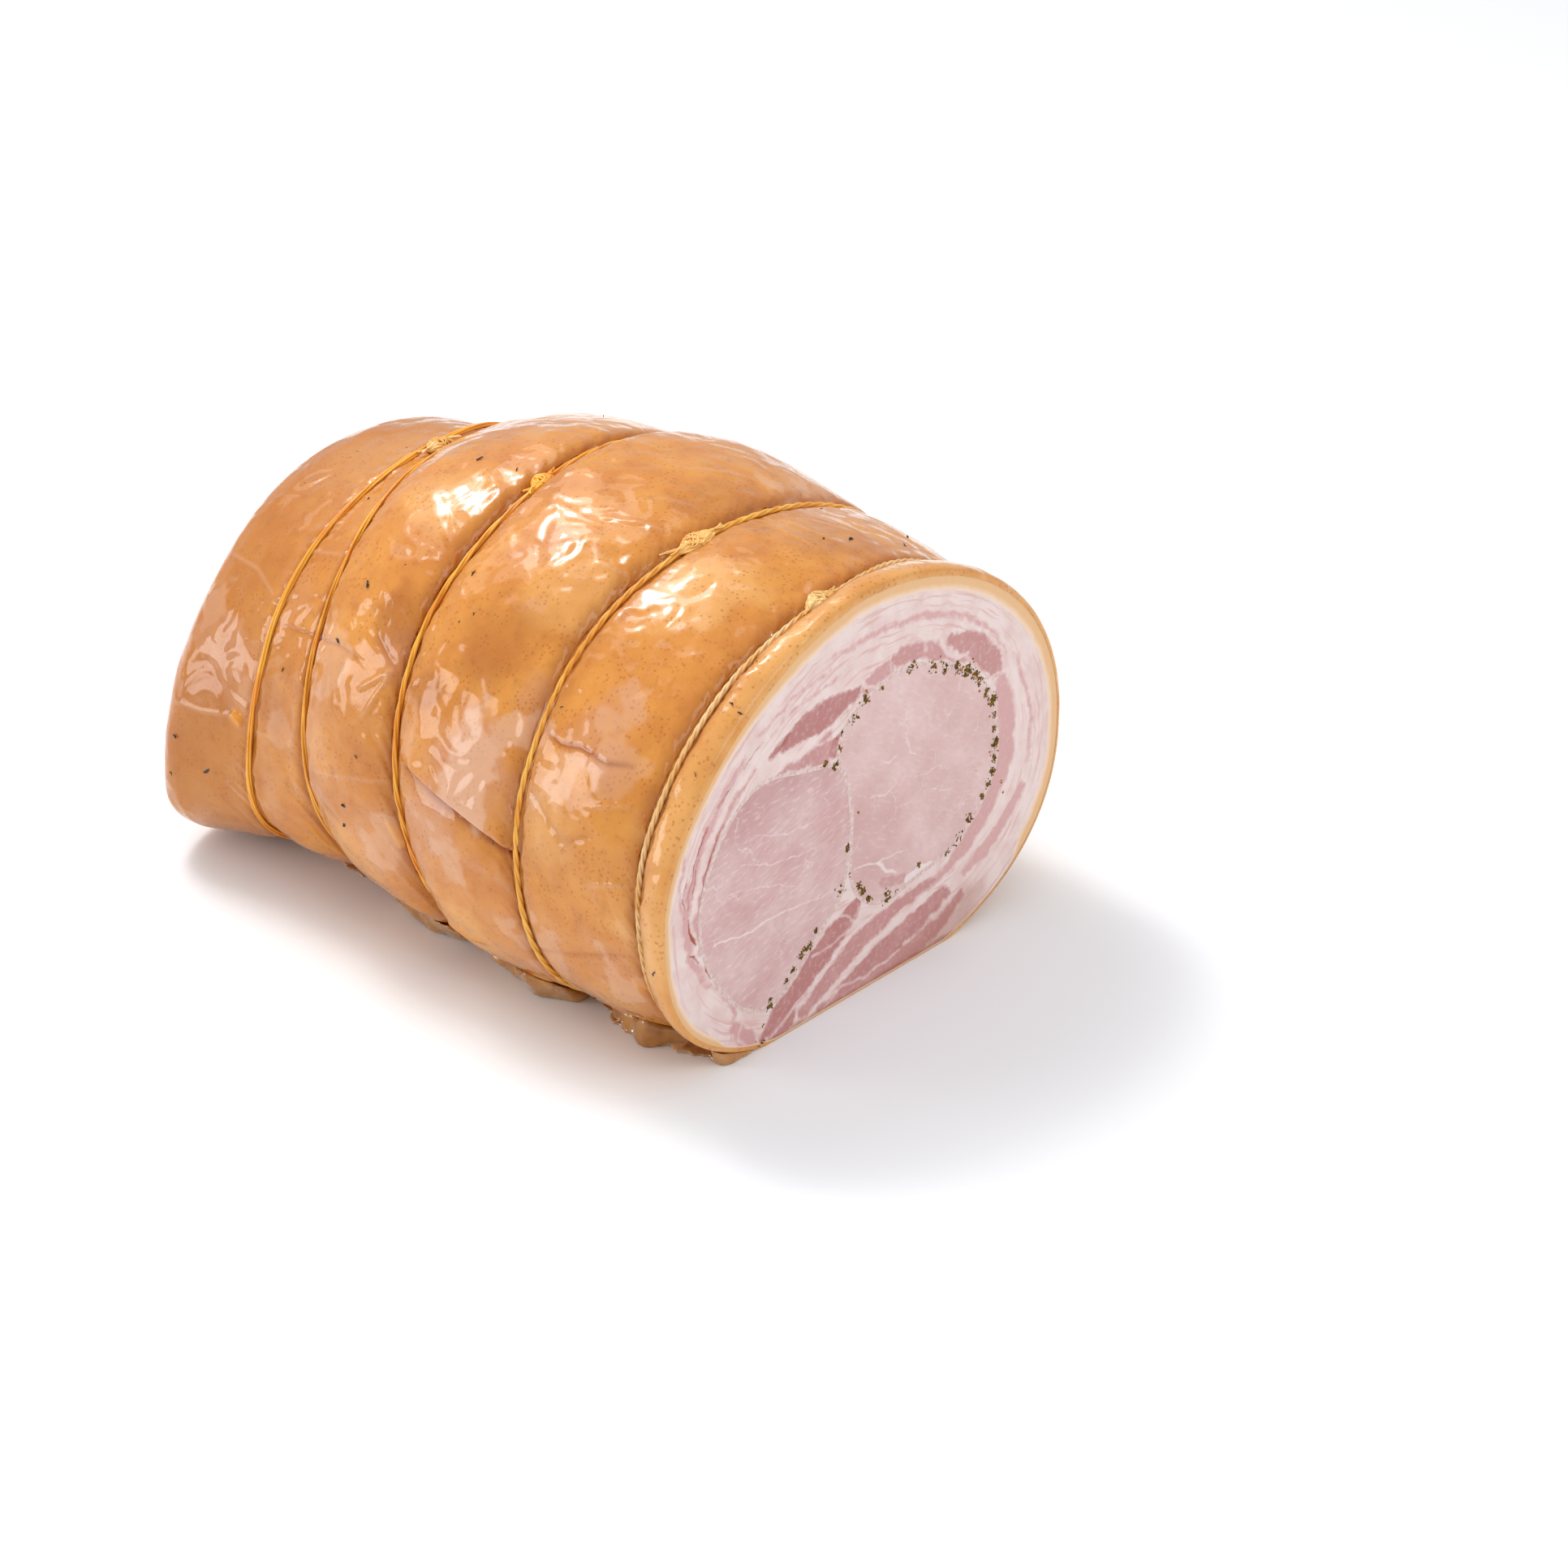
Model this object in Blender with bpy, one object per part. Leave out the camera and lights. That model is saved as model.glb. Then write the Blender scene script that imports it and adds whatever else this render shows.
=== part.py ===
"""Half of a porchetta: a boned pork roll in its rind, tied with twine, set in its own jelly and cut across.

The roll lies along X with its cut face at +X and its natural, domed end at -X. Its near side is at -Y and
+Z is up. The origin is on the floor, under the middle of the roll. Lengths are in metres.
"""

import math
from dataclasses import dataclass

import bmesh
import bpy
import numpy as np

MM = 0.001

# Driving dimensions of the roll. "Back" is a distance behind the cut face, on the near side at waist height.
LENGTH = 241 * MM
ANGLES = 54
GAP = 0.3 * MM

# The groove line's own size, at a few places along the roll
ENVELOPE_AT = np.array([0, 12, 61, 115, 161, 185, 222]) * MM
NEAR_HALF_WIDTH = np.array([93, 90, 90.5, 89, 86.5, 86.5, 92]) * MM
FAR_HALF_WIDTH = np.array([93, 94.5, 99, 101, 96.5, 95.5, 91]) * MM
HEIGHT = np.array([136.5, 133.5, 140.5, 146.5, 139, 132.8, 127.5]) * MM
WAIST_HEIGHT = np.array([60, 61, 63, 61, 53, 45, 29]) * MM
NEAR_FOOT_POWER = np.array([2.8, 2.6, 3.2, 2.9, 2.55, 2.45, 2.7])
NEAR_CROWN_POWER = np.array([1.7, 1.87, 1.95, 1.95, 2.12, 2.15, 2.0])
FAR_FOOT_POWER = 2.35
FAR_CROWN_POWER = 2.0
FOOT_CUT = 3 * MM

# The natural end: it rounds off, less over the crest than under the foot, and leans
DOME = 5 * MM
ROUND_OFF = 14 * MM
END_TUCK = 0.25
END_TUCK_CREST = -0.17
END_LEAN_CREST = -7.5 * MM
END_LEAN_SIDE = -2.5 * MM

# Twine and the grooves that it bites into the rind
TWINE_RADIUS = 1.35 * MM
TWINE_SIDES = 6
TWINE_CLEARANCE = 0.5 * MM
GROOVE_HALF_WIDTH = 2.3 * MM
GROOVE_FOOT_LIFT = 4 * MM
GROOVE_STEEPNESS = 0.42

# Core: the two lean muscles and the herb layer round them
SEAM_THICKNESS = 1.6 * MM
CORE_FRONT_MIDDLE = (0.0, 60 * MM)
CORE_BACK_MIDDLE = (-2 * MM, 46 * MM)
CORE_BACK_SCALE = 0.72
OUTLINE_POINTS = 44

JELLY_CLEARANCE = 0.4 * MM

# Angles round the roll at which each tie's own place is given, from the far waist over the crest to the floor
TIE_ANGLES = np.radians([0, 60, 93, 140, 180, 225, 270])
NEAR_WAIST = 4


@dataclass(frozen=True)
class Tie:
    """One turn of twine: its distances back at the tie angles, in millimetres, and its knot's angle."""

    places: tuple
    knot_angle: float

    @property
    def back(self):
        return self.places[NEAR_WAIST] * MM


TIES = (
    Tie((18, 17.5, 12.5, 12.5, 12.6, 11.8, 12.5), math.radians(98)),
    Tie((65, 61, 58, 63, 62.4, 54.5, 57), math.radians(101)),
    Tie((117, 124, 120, 121, 116.3, 105.5, 106), math.radians(103)),
    Tie((186, 187.5, 178, 166, 161.8, 154.5, 168), math.radians(93)),
    Tie((194, 195.5, 186, 186, 190.8, 191.5, 193), math.radians(93)),
)

# How far the rind swells out of the groove line: before the first tie, between ties, and behind the last
SWELLS = np.array([2.6, 3.4, 4.0, 4.4, 2.0, 0.5]) * MM
CROWN_SWELL = 0.5


@dataclass(frozen=True)
class Finish:
    """A plain surface colour with its roughness."""

    name: str
    colour: tuple
    roughness: float


RIND = Finish("glazed_rind", (0.62, 0.33, 0.12), 0.25)
LEAN = Finish("cooked_loin", (0.72, 0.46, 0.44), 0.5)
HERBS = Finish("herb_layer", (0.42, 0.36, 0.24), 0.7)
TWINE = Finish("cotton_twine", (0.78, 0.58, 0.25), 0.8)
JELLY = Finish("set_jelly", (0.45, 0.20, 0.05), 0.15)


def clear_scene():
    for item in list(bpy.data.objects):
        bpy.data.objects.remove(item, do_unlink=True)


def material_of(finish):
    """The finish as a Principled material, made once."""
    found = bpy.data.materials.get(finish.name)
    if found:
        return found
    made = bpy.data.materials.new(finish.name)
    made.use_nodes = True
    shader = made.node_tree.nodes["Principled BSDF"]
    shader.inputs["Base Color"].default_value = (*finish.colour, 1.0)
    shader.inputs["Roughness"].default_value = finish.roughness
    shader.inputs["Metallic"].default_value = 0.0
    return made


def object_from(name, shape, finish=None):
    """A new object holding the bmesh, smooth shaded with sharp edges kept."""
    bmesh.ops.recalc_face_normals(shape, faces=shape.faces)
    mesh = bpy.data.meshes.new(name)
    shape.to_mesh(mesh)
    shape.free()
    mesh.shade_smooth()
    mesh.set_sharp_from_angle(angle=math.radians(40))
    made = bpy.data.objects.new(name, mesh)
    bpy.context.scene.collection.objects.link(made)
    if finish:
        mesh.materials.append(material_of(finish))
    return made


def helper_from(name, shape):
    """A cutter or guide, which is left out of the model."""
    made = object_from(name, shape)
    made.hide_render = True
    made.display_type = "WIRE"
    return made


def boolean(target, operation, other):
    modifier = target.modifiers.new(f"{operation.lower()}_{other.name}", "BOOLEAN")
    modifier.operation = operation
    modifier.object = other
    modifier.solver = "EXACT"


def along(values, places):
    return np.interp(places, ENVELOPE_AT, values)


def spans():
    """(start, end, swell) of each stretch of rind between groove edges. The last has no groove behind it."""
    edges = [0.0]
    for tie in TIES:
        edges += [tie.back - GROOVE_HALF_WIDTH, tie.back + GROOVE_HALF_WIDTH]
    edges.append(LENGTH + 40 * MM)
    return [(edges[2 * i], edges[2 * i + 1], SWELLS[i]) for i in range(len(SWELLS))]


def bulge(back):
    """(share, swell): nought in a groove, one midway between two, and the stretch's own swell."""
    for start, end, swell in spans():
        if start <= back <= end:
            part = (back - start) / (end - start)
            return (4 * part * (1 - part)) ** GROOVE_STEEPNESS, swell
    return 0.0, 0.0


def round_trip(values, angles):
    """A closed smooth curve through the values at the tie angles, read at these angles."""
    turn = 2 * math.pi
    at = np.concatenate([TIE_ANGLES[-2:] - turn, TIE_ANGLES, TIE_ANGLES[:2] + turn])
    through = np.concatenate([values[-2:], values, values[:2]])
    slopes = np.zeros_like(through)
    slopes[1:-1] = (through[2:] - through[:-2]) / (at[2:] - at[:-2])
    angles = np.mod(angles, turn)
    i = np.clip(np.searchsorted(at, angles, side="right") - 1, 1, len(at) - 3)
    step = at[i + 1] - at[i]
    t = (angles - at[i]) / step
    return ((2 * t**3 - 3 * t**2 + 1) * through[i] + (t**3 - 2 * t**2 + t) * step * slopes[i]
            + (3 * t**2 - 2 * t**3) * through[i + 1] + (t**3 - t**2) * step * slopes[i + 1])


def tie_shift(tie, angles):
    """How far the tie runs behind its place on the near waist."""
    return (round_trip(np.array(tie.places, float), angles) - tie.places[NEAR_WAIST]) * MM


def shift(back, angles):
    """The same for any place on the roll: the ties' own shifts, blended between them."""
    places = [0.0] + [tie.back for tie in TIES] + [LENGTH - DOME - ROUND_OFF]
    end = END_LEAN_CREST * np.sin(angles) + END_LEAN_SIDE * np.cos(angles)
    shifts = [0 * angles] + [tie_shift(tie, angles) for tie in TIES] + [end]
    at = int(np.clip(np.searchsorted(places, back) - 1, 0, len(places) - 2))
    part = min(1.0, (back - places[at]) / (places[at + 1] - places[at]))
    return shifts[at] * (1 - part) + shifts[at + 1] * part


def squeeze(back, angles):
    """The share of the swell that is left where two ties draw together, from 0 to 1."""
    for first, second in zip(TIES, TIES[1:]):
        if first.back < back < second.back:
            room = tie_shift(second, angles) - tie_shift(first, angles)
            return np.clip(1 + room / (second.back - first.back), 0, 1) ** 3
    return np.ones_like(angles)


def lumps(places, angles):
    """Slow unevenness of the roll, as a share of its radius, with none at the cut face."""
    along_roll = places / LENGTH
    return (
        0.007 * np.sin(3 * angles + 9 * along_roll + 0.6)
        + 0.005 * np.sin(5 * angles - 16 * along_roll + 2.1)
        + 0.004 * np.sin(7 * angles + 23 * along_roll + 4.0)
    ) * np.clip(along_roll / 0.08, 0, 1)


def end_scale(back, angles):
    """The section's size as the roll rounds off to its natural end."""
    turn = min(max((back - (LENGTH - DOME - ROUND_OFF)) / ROUND_OFF, 0.0), 1.0)
    tuck = END_TUCK + END_TUCK_CREST * np.sin(angles)
    return 1 - tuck * (1 - math.sqrt(1 - turn**2))


def section(back, angles):
    """(x, y, z) arrays of the roll's skin at this place, at these angles from +Y over the top."""
    c, s = np.cos(angles), np.sin(angles)
    place = back + shift(back, angles)
    waist = along(WAIST_HEIGHT, place)
    width = np.where(c < 0, along(NEAR_HALF_WIDTH, place), along(FAR_HALF_WIDTH, place))
    rise = np.where(s > 0, along(HEIGHT, place) - waist, waist + FOOT_CUT)
    near_power = np.where(s > 0, along(NEAR_CROWN_POWER, place), along(NEAR_FOOT_POWER, place))
    power = np.where(c < 0, near_power, np.where(s > 0, FAR_CROWN_POWER, FAR_FOOT_POWER))
    radius = (np.abs(c / width) ** power + np.abs(s / rise) ** power) ** (-1 / power)
    share, swell = bulge(back)
    swell = swell * squeeze(back, angles)
    radius = radius * (1 + lumps(place, angles)) + swell * share * (1 + CROWN_SWELL * np.clip(s, 0, 1))
    radius = radius * end_scale(back, angles)
    lift = GROOVE_FOOT_LIFT * max(0.0, 1 - 2.2 * share) if back > GROOVE_HALF_WIDTH else 0.0
    height = np.maximum(waist + radius * s, lift)
    return LENGTH / 2 - place, radius * c, height


def grid_angles():
    return np.arange(ANGLES) * 2 * math.pi / ANGLES


def stations():
    """Places of the skin's rings: close together at the grooves and the rounded end, wider on the bulges."""
    rim = LENGTH - DOME - ROUND_OFF
    places = [tie.back + step * GROOVE_HALF_WIDTH for tie in TIES for step in (-1, 0, 1)]
    for start, end, _ in spans():
        room = end - start
        if room < 25 * MM:
            parts = (0.0, 0.2, 0.5, 0.8)
        else:
            parts = (0.03, 0.11, 0.27, 0.5, 0.73, 0.89, 0.97)
        places += [start + part * room for part in parts if start + part * room < rim - 2 * MM]
    places += [rim + turn * ROUND_OFF for turn in (0, 0.3, 0.55, 0.76, 0.9, 0.975, 1.0)]
    return sorted(set(round(place, 6) for place in places))


def skin_rings():
    angles = grid_angles()
    rings = [np.stack(section(back, angles), axis=-1) for back in stations()]
    rim = rings[-1]
    middle = rim.mean(axis=0)
    for share in (0.7, 0.35):
        ring = middle + (rim - middle) * share
        ring[:, 0] -= DOME * (1 - share**2)
        rings.append(ring)
    return rings, middle - np.array([DOME, 0, 0])


def outward_of(ring):
    """Unit vectors out of the ring, in its own section."""
    way = np.roll(ring[:, 1:], -1, axis=0) - np.roll(ring[:, 1:], 1, axis=0)
    way /= np.hypot(*way.T)[:, None]
    return np.stack([0 * way[:, 0], way[:, 1], -way[:, 0]], axis=-1)


def closed_skin(growth=0.0):
    """The whole roll as one closed body: its skin, larger by the growth, the flat cut face and the domed end."""
    rings, tip = skin_rings()
    if growth:
        rings = [ring + growth * outward_of(ring) for ring in rings]
    shape = bmesh.new()
    rows = [[shape.verts.new(point) for point in ring] for ring in rings]
    for row, after in zip(rows, rows[1:]):
        for k in range(ANGLES):
            n = (k + 1) % ANGLES
            shape.faces.new((row[k], row[n], after[n]))
            shape.faces.new((row[k], after[n], after[k]))
    tip_vertex = shape.verts.new(tip)
    for k in range(ANGLES):
        shape.faces.new((rows[-1][k], rows[-1][(k + 1) % ANGLES], tip_vertex))
    shape.faces.new(rows[0])
    return shape


# Outlines of the two muscles on the cut face: (y, z) in millimetres, anticlockwise seen from the face
LOIN_EYE = (
    (61, 63), (58.5, 77.5), (50, 90), (36, 99), (22, 104), (10, 105), (-3, 101.5), (-12.5, 95), (-14.5, 86),
    (-10, 77), (-8, 65), (-8.5, 51), (-7.5, 39.5), (0, 31), (10, 28.5), (24, 31), (37, 33.5), (49, 40.5),
    (58.5, 51),
)
LOIN_LOWER = (
    (-10.2, 56), (-10, 66), (-12, 77), (-17, 84.5), (-30, 87.5), (-46, 91), (-57, 88.5), (-67.5, 79),
    (-74.5, 66), (-76.5, 53), (-73.5, 40), (-66, 27), (-57, 17.5), (-46, 14.5), (-36, 19), (-25, 29.5),
    (-14.5, 39),
)


def smooth_outline(points):
    """A closed Catmull-Rom curve through the points, evenly sampled, in metres."""
    controls = np.array(points) * MM
    count = len(controls)
    fine = []
    for i in range(count):
        a, b, c, d = (controls[(i + step) % count] for step in (-1, 0, 1, 2))
        for t in np.arange(12) / 12:
            fine.append(0.5 * (2 * b + (c - a) * t + (2 * a - 5 * b + 4 * c - d) * t**2
                               + (3 * b - a - 3 * c + d) * t**3))
    fine = np.array(fine + fine[:1])
    walked = np.concatenate([[0], np.cumsum(np.hypot(*np.diff(fine, axis=0).T))])
    at = np.linspace(0, walked[-1], OUTLINE_POINTS, endpoint=False)
    return np.stack([np.interp(at, walked, fine[:, k]) for k in (0, 1)], axis=-1)


def grown(outline, distance):
    """The outline moved outwards by this distance."""
    way = np.roll(outline, -1, axis=0) - np.roll(outline, 1, axis=0)
    way /= np.hypot(*way.T)[:, None]
    return outline + distance * np.stack([way[:, 1], -way[:, 0]], axis=-1)


def core_prism(outline, overhang):
    """A body of this outline through the whole roll, tapering towards the back, longer by the overhang."""
    front = np.array(CORE_FRONT_MIDDLE)
    back = np.array(CORE_BACK_MIDDLE)
    shape = bmesh.new()
    rows = []
    for part in (-overhang / LENGTH, 1 + overhang / LENGTH):
        scale = 1 + (CORE_BACK_SCALE - 1) * part
        placed = front + (back - front) * part + (outline - front) * scale
        rows.append([shape.verts.new((LENGTH * (0.5 - part), y, z)) for y, z in placed])
    first, last = rows
    for k in range(len(first)):
        n = (k + 1) % len(first)
        shape.faces.new((first[k], first[n], last[n], last[k]))
    shape.faces.new(first)
    shape.faces.new(list(reversed(last)))
    return shape


def make_meat():
    """The wrap of belly and rind, the two muscles, and the herb layer between them."""
    whole = helper_from("whole_roll", closed_skin())
    outlines = {"loin_eye": smooth_outline(LOIN_EYE), "loin_lower": smooth_outline(LOIN_LOWER)}
    long_cut, short_cut = 9 * MM, 6 * MM

    def both(prefix, distance, overhang):
        return [helper_from(f"{prefix}_{name}", core_prism(grown(outline, distance), overhang))
                for name, outline in outlines.items()]

    cavity = both("cavity", GAP + SEAM_THICKNESS + GAP, long_cut)
    boolean(cavity[0], "UNION", cavity[1])
    belly = object_from("belly_wrap", closed_skin(), RIND)
    boolean(belly, "DIFFERENCE", cavity[0])

    outer = both("seam", GAP + SEAM_THICKNESS, short_cut)
    seam = object_from("herb_seam", core_prism(grown(outlines["loin_eye"], GAP + SEAM_THICKNESS), short_cut), HERBS)
    boolean(seam, "UNION", outer[1])
    bpy.data.objects.remove(outer[0])
    for inner in both("room", GAP, long_cut):
        boolean(seam, "DIFFERENCE", inner)
    boolean(seam, "INTERSECT", whole)

    for name, outline in outlines.items():
        loin = object_from(name, core_prism(outline, short_cut), LEAN)
        boolean(loin, "INTERSECT", whole)


def tie_path(tie, angles):
    """Points along the middle of the twine: over the groove's floor by its radius and its clearance."""
    ring = np.stack(section(tie.back, angles), axis=-1)
    outward = outward_of(ring)
    return ring + outward * (TWINE_RADIUS + TWINE_CLEARANCE), outward


def twine_loop(path, outward):
    """A closed tube along the path."""
    shape = bmesh.new()
    rows = []
    for point, out in zip(path, outward):
        side = np.array([1.0, 0.0, 0.0])
        turns = np.arange(TWINE_SIDES) * 2 * math.pi / TWINE_SIDES
        rows.append([shape.verts.new(point + TWINE_RADIUS * (math.cos(t) * side + math.sin(t) * out)) for t in turns])
    for i, row in enumerate(rows):
        after = rows[(i + 1) % len(rows)]
        for k in range(TWINE_SIDES):
            n = (k + 1) % TWINE_SIDES
            shape.faces.new((row[k], row[n], after[n], after[k]))
    return shape


@dataclass(frozen=True)
class Lump:
    """A rounded part of a knot: its middle along the roll, along the twine and above it, and its half sizes."""

    middle: tuple
    half: tuple


KNOT_LUMPS = (
    Lump((0.0, 0.0, 2.2), (3.4, 5.2, 2.4)),
    Lump((1.2, -6.0, 2.8), (1.8, 4.6, 1.5)),
    Lump((-1.4, 5.6, 2.8), (1.7, 4.2, 1.4)),
)
JOINT_KNOT_LUMPS = (
    Lump((-3.7, 0.4, 1.2), (2.1, 3.8, 2.3)),
    Lump((3.7, -0.4, 1.2), (2.1, 3.8, 2.3)),
    Lump((0.0, -1.0, 2.9), (5.0, 4.6, 2.5)),
    Lump((-0.6, -7.0, 4.2), (2.1, 5.2, 1.9)),
)


def knot_frame(tie, other=None):
    """(middle, across, along, out) of a knot on one turn of twine, or midway between two turns."""
    near = tie.knot_angle + np.array([-0.02, 0.0, 0.02])
    path, outward = tie_path(tie, near)
    middle, out = path[1], outward[1]
    tangent = (path[0] - path[2]) / np.linalg.norm(path[0] - path[2])
    across = np.array([1.0, 0.0, 0.0])
    if other:
        second = tie_path(other, near)[0][1]
        across = (second - middle) / np.linalg.norm(second - middle)
        middle = (middle + second) / 2
        out = out - across * (out @ across)
        out /= np.linalg.norm(out)
    return middle, across, tangent, out


def add_knot(turn, lumps_of_knot, frame):
    """Joins the knot's lumps to a turn of twine."""
    middle, across, tangent, out = frame
    for i, lump in enumerate(lumps_of_knot):
        x, y, z = (value * MM for value in lump.middle)
        shape = bmesh.new()
        bmesh.ops.create_icosphere(shape, subdivisions=2, radius=1.0)
        for vertex in shape.verts:
            a, b, c = (value * size * MM for value, size in zip(vertex.co, lump.half))
            vertex.co = middle + across * (x + a) + tangent * (b - y) + out * (z + c)
        boolean(turn, "UNION", helper_from(f"{turn.name}_lump_{i + 1}", shape))


def make_ties():
    """The turns of twine. The last two share one knot, so they are one piece."""
    angles = grid_angles()
    singles = TIES[:-2]
    for i, tie in enumerate(singles):
        made = object_from(f"tie_{i + 1}", twine_loop(*tie_path(tie, angles)), TWINE)
        add_knot(made, KNOT_LUMPS, knot_frame(tie))
    first, second = TIES[-2:]
    made = object_from(f"tie_{len(singles) + 1}", twine_loop(*tie_path(first, angles)), TWINE)
    boolean(made, "UNION", helper_from("second_turn", twine_loop(*tie_path(second, angles))))
    add_knot(made, JOINT_KNOT_LUMPS, knot_frame(second, first))


@dataclass(frozen=True)
class Jelly:
    """Jelly set in the undercut at the foot of one bulge: its ends, its side and its toe's run over the floor."""

    start: float
    end: float
    side: int
    reach: float
    rows: int


NEAR, FAR = -1, 1
JELLIES = (
    Jelly(0.8 * MM, 8.2 * MM, NEAR, 16 * MM, 3),
    Jelly(18 * MM, 52 * MM, NEAR, 18 * MM, 9),
    Jelly(69 * MM, 109 * MM, NEAR, 12.5 * MM, 9),
    Jelly(123 * MM, 156 * MM, NEAR, 12 * MM, 8),
    Jelly(69 * MM, 109 * MM, FAR, 11 * MM, 9),
    Jelly(124 * MM, 155 * MM, FAR, 10 * MM, 8),
)
LIP_LIFT = math.radians(11)


def foot_angle(back, side):
    """The angle at which the skin leaves the floor on this side."""
    angles = np.radians(np.arange(270, 180, -0.5) if side == NEAR else np.arange(-90, 0, 0.5))
    return angles[np.argmax(section(back, angles)[2] > 0.02 * MM)]


def jelly_section(patch, place):
    """Points round the jelly here, from under the roll out to its toe and up to its lip on the rind."""
    back = patch.start + (patch.end - patch.start) * place
    ragged = 0.7 * math.sin(8 * place + 2 * patch.start / MM) + 0.3 * math.sin(17 * place + 1.3)
    foot_at = foot_angle(back, patch.side)
    lip_at = foot_at + patch.side * LIP_LIFT * (1 + 0.22 * ragged)
    (x, _), (foot, lip), (_, height) = section(back, np.array([foot_at, lip_at]))
    reach = patch.reach * (1 + 0.16 * ragged) * (0.8 + 0.2 * math.sin(math.pi * place))
    toe = foot + patch.side * reach
    across = [foot - patch.side * 1.5 * MM, toe, lip + patch.side * 0.9 * MM, lip - patch.side * 7 * MM]
    heights = [0.0, 0.0, height, height + 1.5 * MM]
    return [(x, y, z) for y, z in zip(across, heights)]


def make_jelly():
    """Each lump is a ridge of jelly with the roll's own shape, a gap larger, taken out of it."""
    room = helper_from("room_for_roll", closed_skin(JELLY_CLEARANCE))
    for i, patch in enumerate(JELLIES):
        shape = bmesh.new()
        rows = [[shape.verts.new(point) for point in jelly_section(patch, place)]
                for place in np.linspace(0.0, 1.0, patch.rows)]
        count = len(rows[0])
        for row, after in zip(rows, rows[1:]):
            for k in range(count):
                n = (k + 1) % count
                shape.faces.new((row[k], row[n], after[n]))
                shape.faces.new((row[k], after[n], after[k]))
        shape.faces.new(rows[0])
        shape.faces.new(list(reversed(rows[-1])))
        made = object_from(f"jelly_{i + 1}", shape, JELLY)
        boolean(made, "DIFFERENCE", room)


def centre_on_floor():
    """Moves everything so that the origin is under the middle of the roll's own box."""
    rings, tip = skin_rings()
    points = np.concatenate([*rings, tip[None]])
    middle = (points.min(axis=0) + points.max(axis=0)) / 2
    for item in bpy.data.objects:
        item.location = (-middle[0], -middle[1], 0.0)


def main():
    clear_scene()
    make_meat()
    make_ties()
    make_jelly()
    centre_on_floor()


main()
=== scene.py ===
"""Half a porchetta: a boned pork roll, tied in its rind, roasted, set in its own juices and cut across.

The rind, the cut face, the natural end, the twine, the set jelly and the herbs are each modelled here round
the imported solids. Lengths are in metres, the roll lies along X with its cut face at +X, and +Z is up.
"""

import logging
import math
from dataclasses import dataclass, field
from enum import Enum

import bpy
import numpy as np
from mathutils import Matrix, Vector


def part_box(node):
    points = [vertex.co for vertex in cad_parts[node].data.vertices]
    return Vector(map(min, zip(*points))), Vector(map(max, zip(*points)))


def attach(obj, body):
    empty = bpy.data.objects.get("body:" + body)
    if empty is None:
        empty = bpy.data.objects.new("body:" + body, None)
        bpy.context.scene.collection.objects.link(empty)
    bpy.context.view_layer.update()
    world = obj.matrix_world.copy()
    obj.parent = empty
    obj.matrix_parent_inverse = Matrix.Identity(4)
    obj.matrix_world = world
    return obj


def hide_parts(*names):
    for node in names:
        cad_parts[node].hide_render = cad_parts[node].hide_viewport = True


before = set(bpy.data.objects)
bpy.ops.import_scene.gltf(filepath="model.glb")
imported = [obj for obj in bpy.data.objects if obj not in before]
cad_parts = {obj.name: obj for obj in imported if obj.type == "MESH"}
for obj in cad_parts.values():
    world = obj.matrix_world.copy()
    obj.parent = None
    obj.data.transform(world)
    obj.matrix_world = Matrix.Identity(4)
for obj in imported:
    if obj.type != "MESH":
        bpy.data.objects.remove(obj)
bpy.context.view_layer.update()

LOG = logging.getLogger("porchetta")
MM = 0.001
TAU = 2 * math.pi
FLOOR_GAP = 0.05 * MM
Socket = bpy.types.NodeSocket
Object = bpy.types.Object
Material = bpy.types.Material
Tree = bpy.types.GeometryNodeTree
Points = np.ndarray
Mark = tuple[float, float, float]
Line = tuple[Mark, ...]
Sizes = tuple[float, ...]
MATH, MIX, NOISE, RANGE, VORONOI, MAPPING, VECTORS, BUMP = (f"ShaderNode{kind}" for kind in (
    "Math", "Mix", "TexNoise", "MapRange", "TexVoronoi", "Mapping", "VectorMath", "Bump"))


class Slot(Enum):
    """The record's material slots."""

    RIND = "rind"
    LEAN = "lean"
    HERBS = "herbs"
    TWINE = "twine"
    JELLY = "jelly"


class End(Enum):
    """The two ends of the roll."""

    CUT = "cut"
    NATURAL = "natural"


def linear(code: str) -> tuple[float, ...]:
    """Turns an sRGB hex colour, such as "#d9924a", to linear red, green and blue with an alpha of 1."""
    shares = [int(code[i:i + 2], 16) / 255 for i in (1, 3, 5)]
    return (*(c / 12.92 if c <= 0.04045 else ((c + 0.055) / 1.055) ** 2.4 for c in shares), 1.0)


def feed(node: bpy.types.Node, inputs: dict) -> None:
    """Sets a node's inputs.

    Args:
        node: The node.
        inputs: Values, or sockets to link, by the input's name or number.
    """
    for key, value in inputs.items():
        if isinstance(value, Socket):
            node.id_data.links.new(value, node.inputs[key])
        else:
            node.inputs[key].default_value = value


def add_node(tree: bpy.types.NodeTree, kind: str, inputs: dict | None = None, out: str | int | None = None,
             **settings: object) -> bpy.types.Node | Socket:
    """Adds a node to a tree with its settings and links.

    Args:
        tree: The shader or geometry tree.
        kind: The node's type.
        inputs: Values, or sockets to link, by the input's name or number.
        out: The output that is wanted, if not the whole node.
        settings: The node's own properties.

    Returns:
        The output, or else the node.
    """
    node = tree.nodes.new(kind)
    for name, value in settings.items():
        setattr(node, name, value)
    feed(node, inputs or {})
    return node if out is None else node.outputs[out]


def add_object(name: str, data: bpy.types.ID) -> Object:
    """Adds an object to the scene.

    Args:
        name: Its name.
        data: Its mesh, light or camera.

    Returns:
        The object, at the origin.
    """
    item = bpy.data.objects.new(name, data)
    bpy.context.scene.collection.objects.link(item)
    return item


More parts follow.
